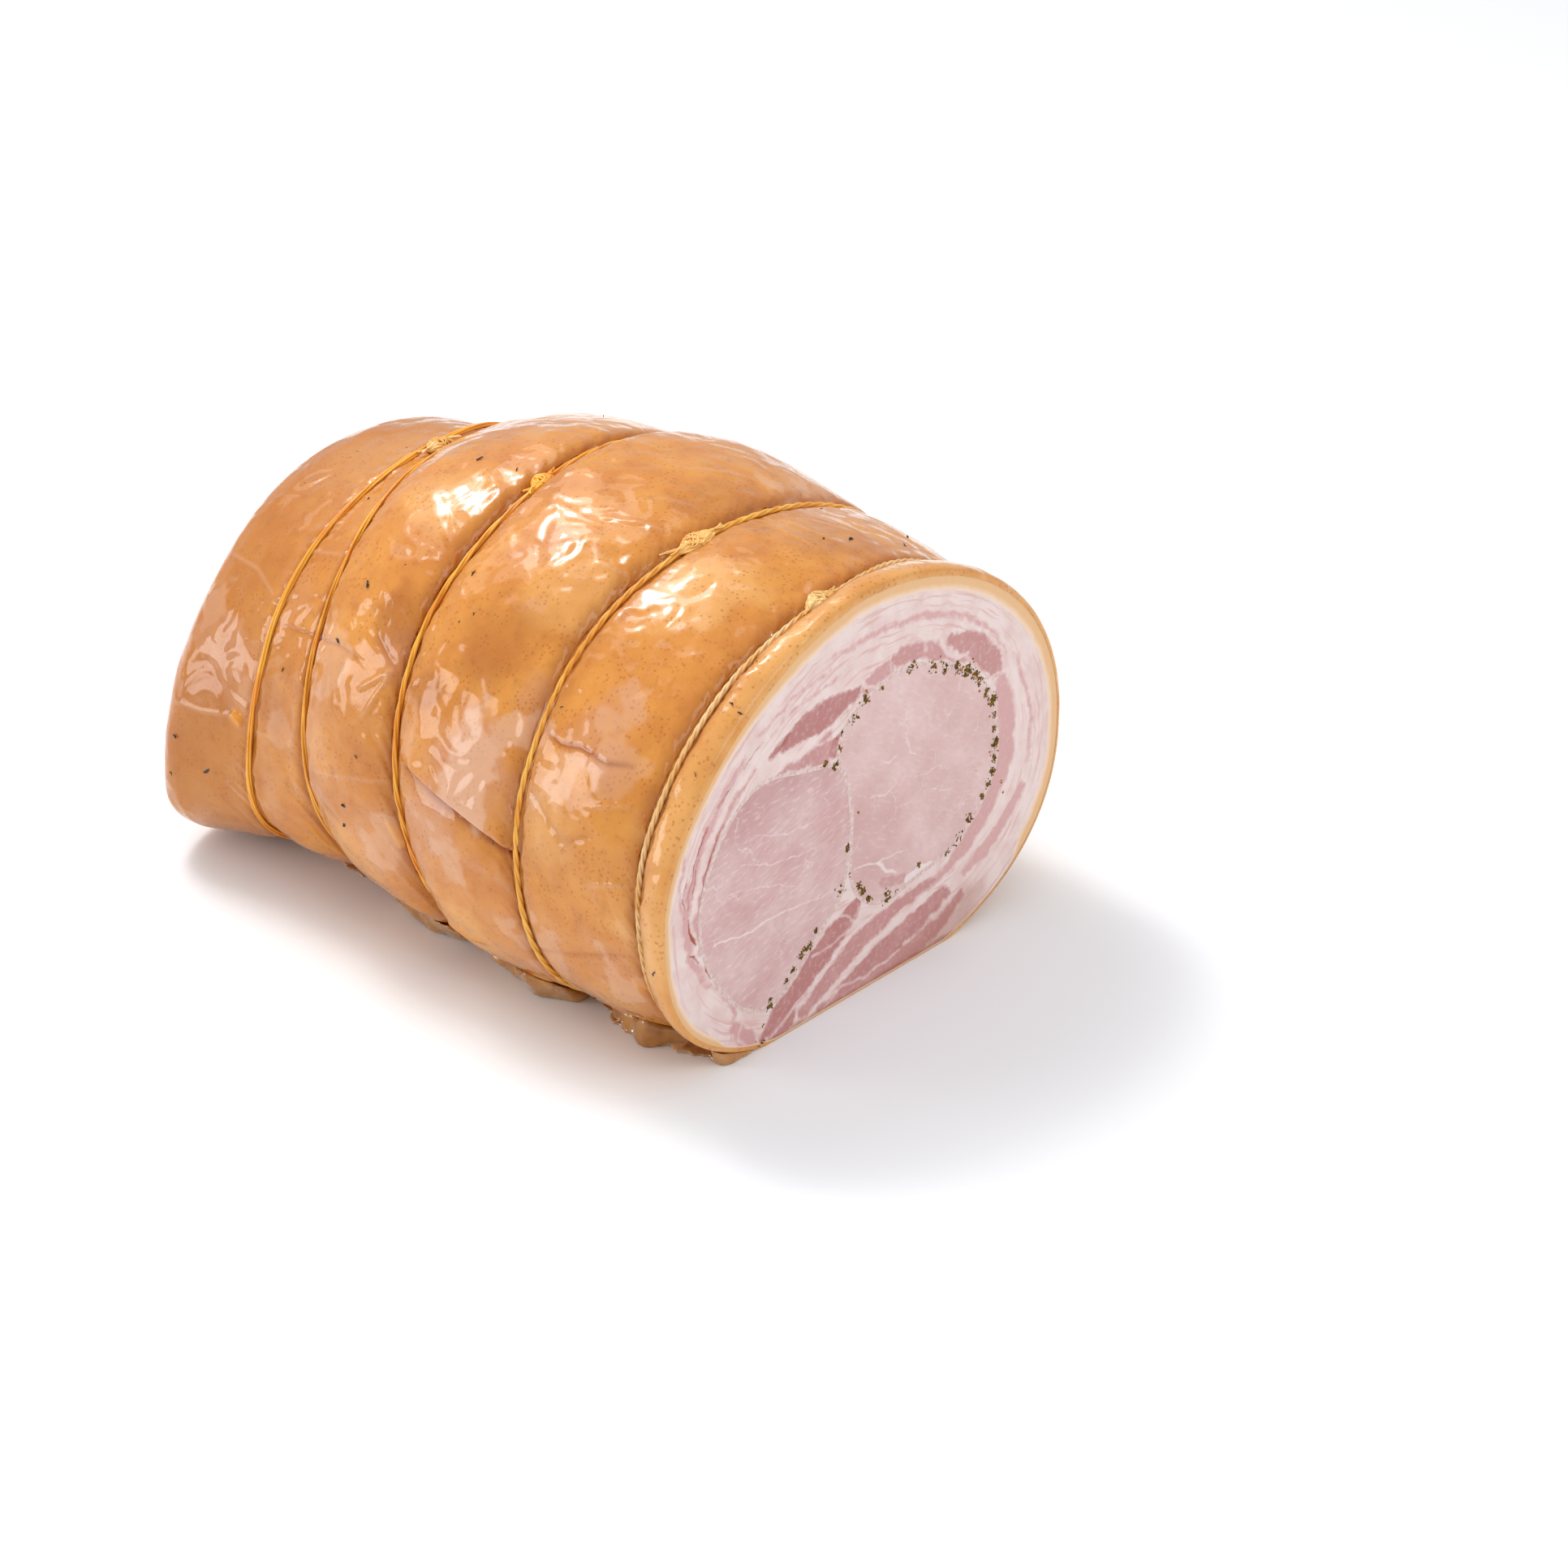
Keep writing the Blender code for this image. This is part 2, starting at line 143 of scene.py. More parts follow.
def vertex_rows(mesh: bpy.types.Mesh, key: str = "co") -> Points:
    """Reads a vector of each of a mesh's vertices.

    Args:
        mesh: The mesh.
        key: Which of their vectors, the place or the normal.

    Returns:
        One row for each vertex.
    """
    rows = np.empty(len(mesh.vertices) * 3)
    mesh.vertices.foreach_get(key, rows)
    return rows.reshape(-1, 3)


def smooth_step(values: Points, low: float, high: float) -> Points:
    """Rises smoothly from 0 at the low value to 1 at the high one."""
    share = np.clip((values - low) / (high - low), 0, 1)
    return share * share * (3 - 2 * share)


def unit(rows: Points) -> Points:
    """Scales vectors to a length of 1."""
    return rows / np.maximum(np.linalg.norm(rows, axis=-1, keepdims=True), 1e-12)


class Grain:
    """Seeded smooth noise in space, from about -1 to 1."""

    CELLS = 32

    def __init__(self, seed: int) -> None:
        """Fills the lattice.

        Args:
            seed: Which noise this is.
        """
        self.lattice = np.random.default_rng(seed).uniform(-1, 1, (self.CELLS,) * 3).astype(np.float32)

    def layer(self, places: Points) -> Points:
        """One layer of noise.

        Args:
            places: Points in lattice cells, with any leading shape and 3 at the end.

        Returns:
            The noise at each point.
        """
        low = np.floor(places).astype(int)
        part = places - low
        part = part * part * (3 - 2 * part)
        total = 0.0
        for corner in np.ndindex(2, 2, 2):
            weight = np.prod(np.where(np.array(corner) == 1, part, 1 - part), axis=-1)
            step = np.reshape(corner, (3,) + (1,) * (low.ndim - 1))
            i, j, k = (np.moveaxis(low, -1, 0) + step) % self.CELLS
            total = total + weight * self.lattice[i, j, k]
        return total

    def at(self, points: Points, size: float, octaves: int = 1) -> Points:
        """Noise whose humps are about this size.

        Args:
            points: Points in metres.
            size: Distance between lattice points, in metres.
            octaves: How many layers, each half as large and half as strong.

        Returns:
            The noise at each point.
        """
        return sum(self.layer(points / size * 2**i + 5.37 * i) / 2**i for i in range(octaves))


@dataclass(frozen=True)
class Tie:
    """One turn of twine: how far back it runs at the tie angles, in millimetres, and where its knot is."""

    places: tuple[float, ...]
    knot_angle: float
    ANGLES = np.radians([0, 60, 93, 140, 180, 225, 270])
    NEAR_WAIST = 4

    @property
    def back(self) -> float:
        """Its distance behind the cut face on the near waist."""
        return self.places[self.NEAR_WAIST] * MM

    def shift(self, angles: Points) -> Points:
        """How far it runs behind its place on the near waist.

        Args:
            angles: Angles round the roll, from +Y over the top.

        Returns:
            Distances in metres.
        """
        at = np.concatenate([self.ANGLES[-2:] - TAU, self.ANGLES, self.ANGLES[:2] + TAU])
        through = np.array([*self.places[-2:], *self.places, *self.places[:2]], float)
        slopes = np.zeros_like(through)
        slopes[1:-1] = (through[2:] - through[:-2]) / (at[2:] - at[:-2])
        angles = np.mod(angles, TAU)
        i = np.clip(np.searchsorted(at, angles, side="right") - 1, 1, len(at) - 3)
        step = at[i + 1] - at[i]
        t = (angles - at[i]) / step
        curve = ((2 * t**3 - 3 * t**2 + 1) * through[i] + (t**3 - 2 * t**2 + t) * step * slopes[i]
                 + (3 * t**2 - 2 * t**3) * through[i + 1] + (t**3 - t**2) * step * slopes[i + 1])
        return (curve - self.places[self.NEAR_WAIST]) * MM


TIES = (
    Tie((18, 17.5, 12.5, 12.5, 12.6, 11.8, 12.5), math.radians(98)),
    Tie((65, 61, 58, 63, 62.4, 54.5, 57), math.radians(101)),
    Tie((117, 124, 120, 121, 116.3, 105.5, 106), math.radians(103)),
    Tie((186, 187.5, 178, 166, 161.8, 154.5, 168), math.radians(93)),
    Tie((194, 195.5, 186, 186, 190.8, 191.5, 193), math.radians(93)),
)


@dataclass
class RollForm:
    """The smooth form of the roll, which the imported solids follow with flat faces. Its rows are in mm."""

    length: float = 241 * MM
    dome: float = 5 * MM
    round_off: float = 14 * MM
    tuck: tuple[float, float] = (0.25, -0.17)
    lean: tuple[float, float] = (-7.5 * MM, -2.5 * MM)
    groove_half_width: float = 2.3 * MM
    groove_lift: float = 4 * MM
    steepness: float = 0.42
    crown_swell: float = 0.5
    foot_cut: float = 3 * MM
    foot_notch: float = 3.5 * MM
    notch_reach: float = 7 * MM
    axis_height: float = 60 * MM
    far_powers: tuple[float, float] = (2.0, 2.35)
    lump_waves: tuple[tuple[float, float, float, float], ...] = (
        (0.007, 3, 9, 0.6), (0.005, 5, -16, 2.1), (0.004, 7, 23, 4.0))
    swells: Sizes = (2.6, 3.4, 4.0, 4.4, 2.0, 0.5)
    at: Sizes = (0, 12, 61, 115, 161, 185, 222)
    near_width: Sizes = (93, 90, 90.5, 89, 86.5, 86.5, 92)
    far_width: Sizes = (93, 94.5, 99, 101, 96.5, 95.5, 91)
    height: Sizes = (136.5, 133.5, 140.5, 146.5, 139, 132.8, 127.5)
    waist: Sizes = (60, 61, 63, 61, 53, 45, 29)
    near_foot_power: Sizes = (2.8, 2.6, 3.2, 2.9, 2.55, 2.45, 2.7)
    near_crown_power: Sizes = (1.7, 1.87, 1.95, 1.95, 2.12, 2.15, 2.0)
    middle: Points = field(default_factory=lambda: np.zeros(3))

    def __post_init__(self) -> None:
        """Sets the form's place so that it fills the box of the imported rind."""
        low, high = (np.array(corner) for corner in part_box("belly_wrap"))
        skin = self.skin(np.linspace(0, self.rim, 240), np.radians(np.arange(0, 360, 2)))
        self.middle[0] = high[0] - self.length / 2
        self.middle[1] = (low[1] + high[1] - skin[..., 1].min() - skin[..., 1].max()) / 2

    @property
    def rim(self) -> float:
        """How far back the roll starts to round off."""
        return self.length - self.dome - self.round_off

    @property
    def last(self) -> float:
        """How far back its rounded edge ends."""
        return self.rim + self.round_off

    @property
    def face(self) -> float:
        """The X of the cut face."""
        return self.middle[0] + self.length / 2

    def along(self, values: Sizes, place: Points) -> Points:
        """Reads a row of sizes in millimetres at these distances back."""
        return np.interp(place, np.array(self.at) * MM, np.array(values) * MM)

    def clock(self, points: Points) -> Points:
        """The angle of each point about the axis, in degrees: 90 on the crest and 180 on the near waist."""
        return np.degrees(np.arctan2(points[..., 2] - self.axis_height, points[..., 1])) % 360

    def reach(self, points: Points) -> Points:
        """How far each point is from the axis."""
        return np.hypot(points[..., 1], points[..., 2] - self.axis_height)

    def bulge(self, back: Points) -> tuple[Points, Points]:
        """The share of swell and the swell of each place.

        Args:
            back: Distances behind the cut face.

        Returns:
            Shares from 0 in a groove to 1 midway between two, and swells in metres.
        """
        edges = [0.0]
        for tie in TIES:
            edges += [tie.back - self.groove_half_width, tie.back + self.groove_half_width]
        edges.append(self.length + 40 * MM)
        share, swell = np.zeros_like(back), np.zeros_like(back)
        for size, start, end in zip(self.swells, edges[::2], edges[1::2]):
            inside = (start <= back) & (back <= end)
            part = (back - start) / (end - start)
            share = np.where(inside, np.clip(4 * part * (1 - part), 0, 1) ** self.steepness, share)
            swell = np.where(inside, size * MM, swell)
        return share, swell

    def shift(self, back: Points, angles: Points) -> Points:
        """How far each place of the skin runs behind its row.

        Args:
            back: N distances behind the cut face.
            angles: M angles round the roll.

        Returns:
            N by M distances.
        """
        stations = np.array([0.0, *(tie.back for tie in TIES), self.rim])
        end = self.lean[0] * np.sin(angles) + self.lean[1] * np.cos(angles)
        rows = np.stack([0 * angles, *(tie.shift(angles) for tie in TIES), end])
        weights = np.stack([np.interp(back, stations, share) for share in np.eye(len(stations))], axis=-1)
        return weights @ rows

    def squeeze(self, back: Points, angles: Points) -> Points:
        """The share of the swell that is left where two ties draw together.

        Args:
            back: N distances behind the cut face.
            angles: M angles round the roll.

        Returns:
            N by M shares.
        """
        share = np.ones((len(back), len(angles)))
        for first, second in zip(TIES, TIES[1:]):
            between = (first.back < back) & (back < second.back)
            room = second.shift(angles) - first.shift(angles)
            share[between] = np.clip(1 + room / (second.back - first.back), 0, 1) ** 3
        return share

    def lumps(self, place: Points, angles: Points) -> Points:
        """Slow unevenness of the roll.

        Args:
            place: Distances behind the cut face.
            angles: Angles round the roll.

        Returns:
            Shares of the radius, which fade out towards the cut face.
        """
        share = place / self.length
        waves = sum(size * np.sin(count * angles + twist * share + phase)
                    for size, count, twist, phase in self.lump_waves)
        return waves * np.clip(share / 0.08, 0, 1)

    def skin(self, back: Points, angles: Points) -> Points:
        """The roll's skin.

        Args:
            back: N distances behind the cut face, on the near waist.
            angles: M angles round the roll, from +Y over the top.

        Returns:
            N by M points.
        """
        c, s = np.cos(angles), np.sin(angles)
        rows = back[:, None]
        place = rows + self.shift(back, angles)
        waist = self.along(self.waist, place)
        width = np.where(c < 0, self.along(self.near_width, place), self.along(self.far_width, place))
        rise = np.where(s > 0, self.along(self.height, place) - waist, waist + self.foot_cut)
        crown, foot = (self.along(row, place) / MM for row in (self.near_crown_power, self.near_foot_power))
        power = np.where(c < 0, np.where(s > 0, crown, foot), np.where(s > 0, *self.far_powers))
        radius = (np.abs(c / width) ** power + np.abs(s / rise) ** power) ** (-1 / power)
        share, swell = (row[:, None] for row in self.bulge(back))
        swell = swell * self.squeeze(back, angles)
        radius = radius * (1 + self.lumps(place, angles))
        radius = radius + swell * share * (1 + self.crown_swell * np.clip(s, 0, 1))
        late_ties = np.array([tie.back for tie in TIES[2:]])
        notched = np.exp(-((rows - late_ties) / self.notch_reach) ** 2).max(axis=1)[:, None]
        radius = radius - self.foot_notch * notched * np.clip(-2.2 * s, 0, 1) * np.clip(-3 * c, 0, 1)
        turn = np.clip((rows - self.rim) / self.round_off, 0, 1)
        radius = radius * (1 - (self.tuck[0] + self.tuck[1] * s) * (1 - np.sqrt(1 - turn**2)))
        lift = np.where(rows > self.groove_half_width, self.groove_lift * np.clip(1 - 2.2 * share, 0, 1), 0)
        height = np.maximum(waist + radius * s, lift)
        return np.stack([self.length / 2 - place, radius * c, height], axis=-1) + self.middle


def outward(points: Points) -> Points:
    """The way out of the roll at each point of a grid.

    Args:
        points: Points, in rows that run back and columns that run round the roll.

    Returns:
        Unit normals.
    """
    down = np.gradient(points, axis=0)
    round_roll = (np.roll(points, -1, axis=1) - np.roll(points, 1, axis=1)) / 2
    return unit(np.cross(round_roll, -down))


def mesh_piece(name: str, points: Points, faces: Points | list, material: Material,
               attributes: dict[str, Points] | None = None) -> Object:
    """Makes a smooth-shaded object of these points and faces.

    Args:
        name: The piece's name.
        points: V points.
        faces: Corner numbers of each face, pointing out.
        material: Its finish.
        attributes: Numbers or vectors at each point, by name.

    Returns:
        The object, at the origin.
    """
    mesh = bpy.data.meshes.new(name)
    mesh.from_pydata(points, [], faces)
    for key, values in (attributes or {}).items():
        kind, part = ("FLOAT", "value") if values.ndim == 1 else ("FLOAT_VECTOR", "vector")
        made = mesh.attributes.new(key, kind, "POINT")
        made.data.foreach_set(part, values.astype(np.float32).ravel())
    mesh.materials.append(material)
    mesh.shade_smooth()
    return add_object(name, mesh)


def grid_faces(rows: int, columns: int) -> Points:
    """Corner numbers of the squares between the points of a grid whose last column joins the first.

    Args:
        rows: How many rows of points.
        columns: How many points in a row.

    Returns:
        One row of four corners for each square.
    """
    i, j = np.meshgrid(np.arange(rows - 1), np.arange(columns), indexing="ij")
    n = (j + 1) % columns
    square = (i * columns + j, i * columns + n, (i + 1) * columns + n, (i + 1) * columns + j)
    return np.stack(square, axis=-1).reshape(-1, 4)[:, ::-1]


def settle(piece: Object, slot: Slot, *nodes: str) -> None:
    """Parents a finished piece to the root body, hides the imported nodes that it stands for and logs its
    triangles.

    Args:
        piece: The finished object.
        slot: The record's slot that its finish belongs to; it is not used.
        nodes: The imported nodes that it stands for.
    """
    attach(piece, "root")
    if nodes:
        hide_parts(*nodes)
    LOG.info("%s: %d triangles", piece.name, sum(len(face.vertices) - 2 for face in piece.data.polygons))


def set_plain(piece: Object) -> None:
    """Keeps what an object's modifiers make of it as its own plain mesh, and removes them.

    Args:
        piece: The object.
    """
    graph = bpy.context.evaluated_depsgraph_get()
    made = bpy.data.meshes.new_from_object(piece.evaluated_get(graph), depsgraph=graph)
    piece.modifiers.clear()
    made.name = piece.name
    piece.data = made


@dataclass(frozen=True)
class Coat:
    """A colour laid over those below. It shows as its source goes from start to full, up to its most.

    Within, where given, is a second source with its own start and full, and the coat shows where both do.
    """

    colour: str | Socket
    source: str
    start: float = 0.0
    full: float = 1.0
    most: float = 1.0
    within: tuple[str, float, float] | None = None


class Layup:
    """A material while it is built up: its tree, and the sources of pattern that its coats read."""

    def __init__(self, name: str) -> None:
        """Starts the material.

        Args:
            name: What the real material is.
        """
        self.material = bpy.data.materials.new(name)
        self.material.use_nodes = True
        self.tree = self.material.node_tree
        self.shader = self.tree.nodes["Principled BSDF"]
        self.place = add_node(self.tree, "ShaderNodeTexCoord", out="Object")
        self.sources: dict[str, Socket] = {}

    def draw(self, *masks: str, place: Socket | None = None, **grains: tuple[float, float]) -> None:
        """Adds sources: masks that the piece carries, and soft grain.

        Args:
            masks: The masks' names.
            place: Where the grain is read, if not at the piece's own coordinates.
            grains: The size of each grain in metres and its detail, by name.
        """
        for name in masks:
            self.sources[name] = add_node(self.tree, "ShaderNodeAttribute", out="Fac", attribute_name=name)
        for name, (size, detail) in grains.items():
            self.sources[name] = add_node(
                self.tree, NOISE, {"Vector": place or self.place, "Scale": 1 / size, "Detail": detail}, "Fac")

    def fray(self, **edges: tuple[float, float]) -> None:
        """Makes the edges of masks ragged.

        Args:
            edges: How far each mask's edge wanders, in the mask's own unit, and in lumps of what size.
        """
        for mask, (wander, size) in edges.items():
            self.draw(lumps=(size, 3.0))
            off = add_node(self.tree, MATH, {0: self.sources["lumps"], 1: 0.5}, 0, operation="SUBTRACT")
            self.sources[mask] = add_node(self.tree, MATH, {0: off, 1: wander, 2: self.sources[mask]}, 0,
                                          operation="MULTIPLY_ADD")

    def rise(self, source: str, start: float, full: float, most: float = 1.0) -> Socket:
        """Reads a source's rise, from 0 where it starts to the most where it is full."""
        limits = {"Value": self.sources[source], "From Min": start, "From Max": full, "To Max": most}
        return add_node(self.tree, RANGE, limits, "Result")

    def lay(self, ground: str, *coats: Coat) -> Socket:
        """Lays coats of colour over a ground.

        Args:
            ground: The lowest colour.
            coats: The coats, lowest first.

        Returns:
            The colour on top.
        """
        colour = linear(ground)
        for coat in coats:
            share = self.rise(coat.source, coat.start, coat.full, coat.most)
            if coat.within:
                both = {0: share, 1: self.rise(*coat.within)}
                share = add_node(self.tree, MATH, both, 0, operation="MULTIPLY")
            top = linear(coat.colour) if isinstance(coat.colour, str) else coat.colour
            pair = {"Factor": share, "A": colour, "B": top}
            colour = add_node(self.tree, MIX, pair, "Result", data_type="RGBA")
        return colour

    def dress(self, colour: Socket, relief: Socket, strength: float, depth: float,
              **gloss: object) -> Material:
        """Sets the shader.

        Args:
            colour: The colour on top.
            relief: The height of its fine relief.
            strength: How strong the relief is.
            depth: How deep it is, in metres.
            gloss: The shader's other inputs, with underscores for spaces.

        Returns:
            The finished material.
        """
        bump = {"Height": relief, "Strength": strength, "Distance": depth}
        normal = add_node(self.tree, BUMP, bump, "Normal")
        given = {key.replace("_", " "): value for key, value in gloss.items()}
        feed(self.shader, {"Base Color": colour, "Normal": normal, **given})
        return self.material


@dataclass(frozen=True)
class GlazedRind:
    """Pork skin, slow roasted under its own juices."""

    # The skin is soft and matt, golden with tan mottling and brown pores, and lets a little warm light
    # through. The juices over it set to a hard clear glaze, which gives wide white highlights that the
    # crumpled glaze breaks up. The pale, pink and film coats are partly the skin's own paler zones and lifted
    # glaze and partly painted soft reflection, with painted glints along the crease ridges. The brown coat
    # holds darker patches and painted shade in the grooves beside the ties, and the red coat also holds
    # painted shade under the fold. The pores are drawn at about twice their real size to show.
    gold: str = "#d8903e"
    tan: str = "#c87c34"
    brown: str = "#9e581c"
    pale: str = "#e8ae68"
    pink: str = "#ce9068"
    red: str = "#964410"
    amber: str = "#dc8c08"
    pore: str = "#ac5810"
    film_and_sheen: str = "#eecbb2"
    pore_spacing: float = 1.7 * MM
    swirl_size: float = 13 * MM
    crumple_size: float = 8 * MM
    crumple_share: float = 0.22
    glaze_depth: float = 1.5 * MM

    def material(self) -> Material:
        """Builds the finish.

        Returns:
            The material, which reads the masks that each band of rind carries.
        """
        made = Layup("glazed_pork_rind")
        made.draw("pale", "pink", "brown", "red", "amber", "film_and_sheen", mottle=(15 * MM, 3.0),
                  blotch=(4.5 * MM, 5.0), pored=(9 * MM, 1.0), fine=(0.7 * MM, 2.0), crumpled=(18 * MM, 1.0))
        cells = {"Vector": made.place, "Scale": 1 / self.pore_spacing}
        made.sources["pores"] = add_node(made.tree, VORONOI, cells, "Distance")
        colour = made.lay(
            self.gold, Coat(self.tan, "mottle", 0.36, 0.72), Coat(self.brown, "blotch", 0.52, 0.78, 0.32),
            Coat(self.pale, "pale"), Coat(self.pink, "pink"), Coat(self.brown, "brown"),
            Coat(self.pore, "pores", 0.36, 0.14, 0.56, ("pored", 0.32, 0.58)),
            Coat(self.red, "red"), Coat(self.amber, "amber"), Coat(self.film_and_sheen, "film_and_sheen"))
        grain = {"Vector": made.place, "Detail": 1.0}
        swirl = add_node(made.tree, NOISE, {**grain, "Scale": 1 / self.swirl_size, "Distortion": 0.8}, "Fac")
        crumple = add_node(made.tree, NOISE, {**grain, "Scale": 1 / self.crumple_size}, "Fac",
                           noise_type="RIDGED_MULTIFRACTAL")
        share = made.rise("crumpled", 0.42, 0.62, self.crumple_share)
        ripple = add_node(made.tree, MATH, {0: crumple, 1: share, 2: swirl}, 0, operation="MULTIPLY_ADD")
        glaze = add_node(made.tree, BUMP, {"Height": ripple, "Distance": self.glaze_depth}, "Normal")
        return made.dress(
            colour, made.sources["fine"], 0.35, 0.3 * MM, Roughness=0.5, Specular_IOR_Level=0.08,
            Coat_Weight=1.0, Coat_Roughness=0.1, Coat_IOR=1.38, Coat_Normal=glaze, Subsurface_Weight=0.12,
            Subsurface_Radius=(1.0, 0.45, 0.12), Subsurface_Scale=2.5 * MM)


@dataclass(frozen=True)
class CutBelly:
    """Cooked pork belly cut across."""

    # Inside its tan edge of skin the fat is white and waxy and lies in fine pinkish sheets, and the lean
    # between is rose with white fibres. Both are moist, so they shine softly and let light in. The sheets
    # and fibres are drawn two or three times as coarse as real ones to show.
    name: str = "cut_pork_belly"
    skin_outer: str = "#dd9f5c"
    skin: str = "#e5b682"
    skin_inner: str = "#efd2b8"
    fat: str = "#e9d5d1"
    fat_shade: str = "#dfc3bd"
    strand: str = "#ead6d2"
    layer: str = "#d9aaa2"
    lean: str = "#d9acaa"
    lean_dark: str = "#b06c68"
    slit: str = "#b0604e"
    # Also the colour of painted shadow on the lower right of the cut face.
    browned: str = "#a0573c"
    sheet_stretch: float = 0.055

    def material(self) -> Material:
        """Builds the finish.

        Returns:
            The material, which reads the depths and masks that the cut face carries.
        """
        made = Layup(self.name)
        made.draw("skin", "lean", "tone", "strand", "slit", "brown", cloud=(7 * MM, 3.0),
                  fibres=(1.6 * MM, 4.0), bloom=(6 * MM, 3.0), grit=(1.1 * MM, 3.0))
        layers = add_node(made.tree, "ShaderNodeAttribute", out="Vector", attribute_name="layer")
        stretch = (self.sheet_stretch, 1.0, 1.0)
        drawn = add_node(made.tree, MAPPING, {"Vector": layers, "Scale": stretch}, "Vector")
        made.draw(place=drawn, sheets=(1.3 * MM, 2.0))
        made.fray(lean=(3.4 * MM, 2.2 * MM), strand=(1.5 * MM, 2 * MM), slit=(0.6 * MM, 1.2 * MM),
                  skin=(0.3, 4 * MM))
        lean = made.lay(self.lean, Coat(self.lean_dark, "tone"), Coat(self.lean, "bloom", 0.5, 0.75, 0.35),
                        Coat(self.fat_shade, "fibres", 0.52, 0.74, 0.4))
        skin = made.lay(self.skin_outer, Coat(self.skin, "skin", 0, 0.16),
                        Coat(self.skin_inner, "skin", 0.55, 0.9))
        colour = made.lay(
            self.fat, Coat(self.fat_shade, "cloud", 0.4, 0.7), Coat(self.layer, "sheets", 0.53, 0.68, 0.75),
            Coat(lean, "lean", -0.7 * MM, 0.7 * MM),
            Coat(self.strand, "strand", -0.5 * MM, 0.5 * MM, 0.72),
            Coat(self.slit, "slit", -0.2 * MM, 0.2 * MM), Coat(self.browned, "brown"),
            Coat(skin, "skin", 1.08, 0.88))
        relief = add_node(made.tree, MATH, {0: made.sources["sheets"], 1: 0.5, 2: made.sources["grit"]}, 0,
                          operation="MULTIPLY_ADD")
        return made.dress(colour, relief, 0.3, 0.3 * MM, Roughness=0.42, Specular_IOR_Level=0.45,
                          Subsurface_Weight=0.25, Subsurface_Radius=(1.0, 0.5, 0.4), Subsurface_Scale=2 * MM)


@dataclass(frozen=True)
class CutLoin:
    """Cooked pork loin cut across the grain."""

    # Poached in its own juices, the muscle is pale pink and moist, a little translucent, with short fibres
    # that run one way and fine white veins of fat between its bundles. The fibres are drawn coarse enough
    # to show.
    name: str
    pale: str
    mid: str
    dark: str
    strand: str = "#efe0dd"
    grain_angle: float = 0.0
    fibre: float = 0.2
    bundle_size: float = 12 * MM
    warp_size: float = 5 * MM
    warp_reach: float = 6 * MM

    def material(self) -> Material:
        """Builds the finish.

        Returns:
            The material, which reads the tone and the strands that the muscle carries.
        """
        made = Layup(self.name)
        tree = made.tree
        made.draw("tone", "strand", cloud=(14 * MM, 3.0), veined=(9 * MM, 1.0), grit=(0.9 * MM, 2.0))
        made.fray(strand=(0.6 * MM, 1.8 * MM))
        turn = {"Vector": made.place, "Rotation": (self.grain_angle, 0, 0)}
        turned = add_node(tree, MAPPING, turn, "Vector")
        drawn = add_node(tree, MAPPING, {"Vector": turned, "Scale": (1, 0.3, 1)}, "Vector")
        made.draw(place=drawn, fibres=(1.1 * MM, 4.0))
        lumps = add_node(tree, NOISE, {"Vector": made.place, "Scale": 1 / self.warp_size}, "Color")
        push = add_node(tree, VECTORS, {0: lumps, "Scale": self.warp_reach}, "Vector", operation="SCALE")
        warp = add_node(tree, VECTORS, {0: made.place, 1: push}, "Vector", operation="ADD")
        cells = {"Vector": warp, "Scale": 1 / self.bundle_size}
        made.sources["veins"] = add_node(tree, VORONOI, cells, "Distance", feature="DISTANCE_TO_EDGE")
        colour = made.lay(
            self.pale, Coat(self.mid, "cloud", 0.35, 0.68), Coat(self.dark, "tone"),
            Coat(self.dark, "fibres", 0.52, 0.75, self.fibre),
            Coat(self.strand, "fibres", 0.44, 0.32, self.fibre),
            Coat(self.strand, "veins", 0.020, 0.004, 0.45, ("veined", 0.48, 0.66)),
            Coat(self.strand, "strand", -0.2 * MM, 0.25 * MM, 0.85))
        relief = add_node(tree, MATH, {0: made.sources["fibres"], 1: 1.2, 2: made.sources["grit"]}, 0,
                          operation="MULTIPLY_ADD")
        return made.dress(colour, relief, 0.3, 0.3 * MM, Roughness=0.4, Specular_IOR_Level=0.5,
                          Subsurface_Weight=0.25, Subsurface_Radius=(1.0, 0.45, 0.4), Subsurface_Scale=2 * MM)


@dataclass(frozen=True)
class PlainFood:
    """A food of two close colours in soft grains."""

    # Dry chopped herbs and spice are dull and broken, so they take a rough finish. Meat juices that set to
    # a jelly are smooth, wet and clear, so they take a sharp coat and let part of the light through.
    name: str
    base: str
    second: str
    grain: float
    roughness: float = 0.6
    bump: float = 0.3
    coat: float = 0.0
    transmission: float = 0.0
    specular: float = 0.5

    def material(self) -> Material:
        """Builds the finish.

        Returns:
            The material.
        """
        made = Layup(self.name)
        made.draw(grain=(self.grain, 4.0))
        colour = made.lay(self.base, Coat(self.second, "grain", 0.38, 0.62))
        return made.dress(colour, made.sources["grain"], self.bump, self.grain / 3, Roughness=self.roughness,
                          Coat_Weight=self.coat, Coat_Roughness=0.08, Transmission_Weight=self.transmission,
                          IOR=1.36, Specular_IOR_Level=self.specular)


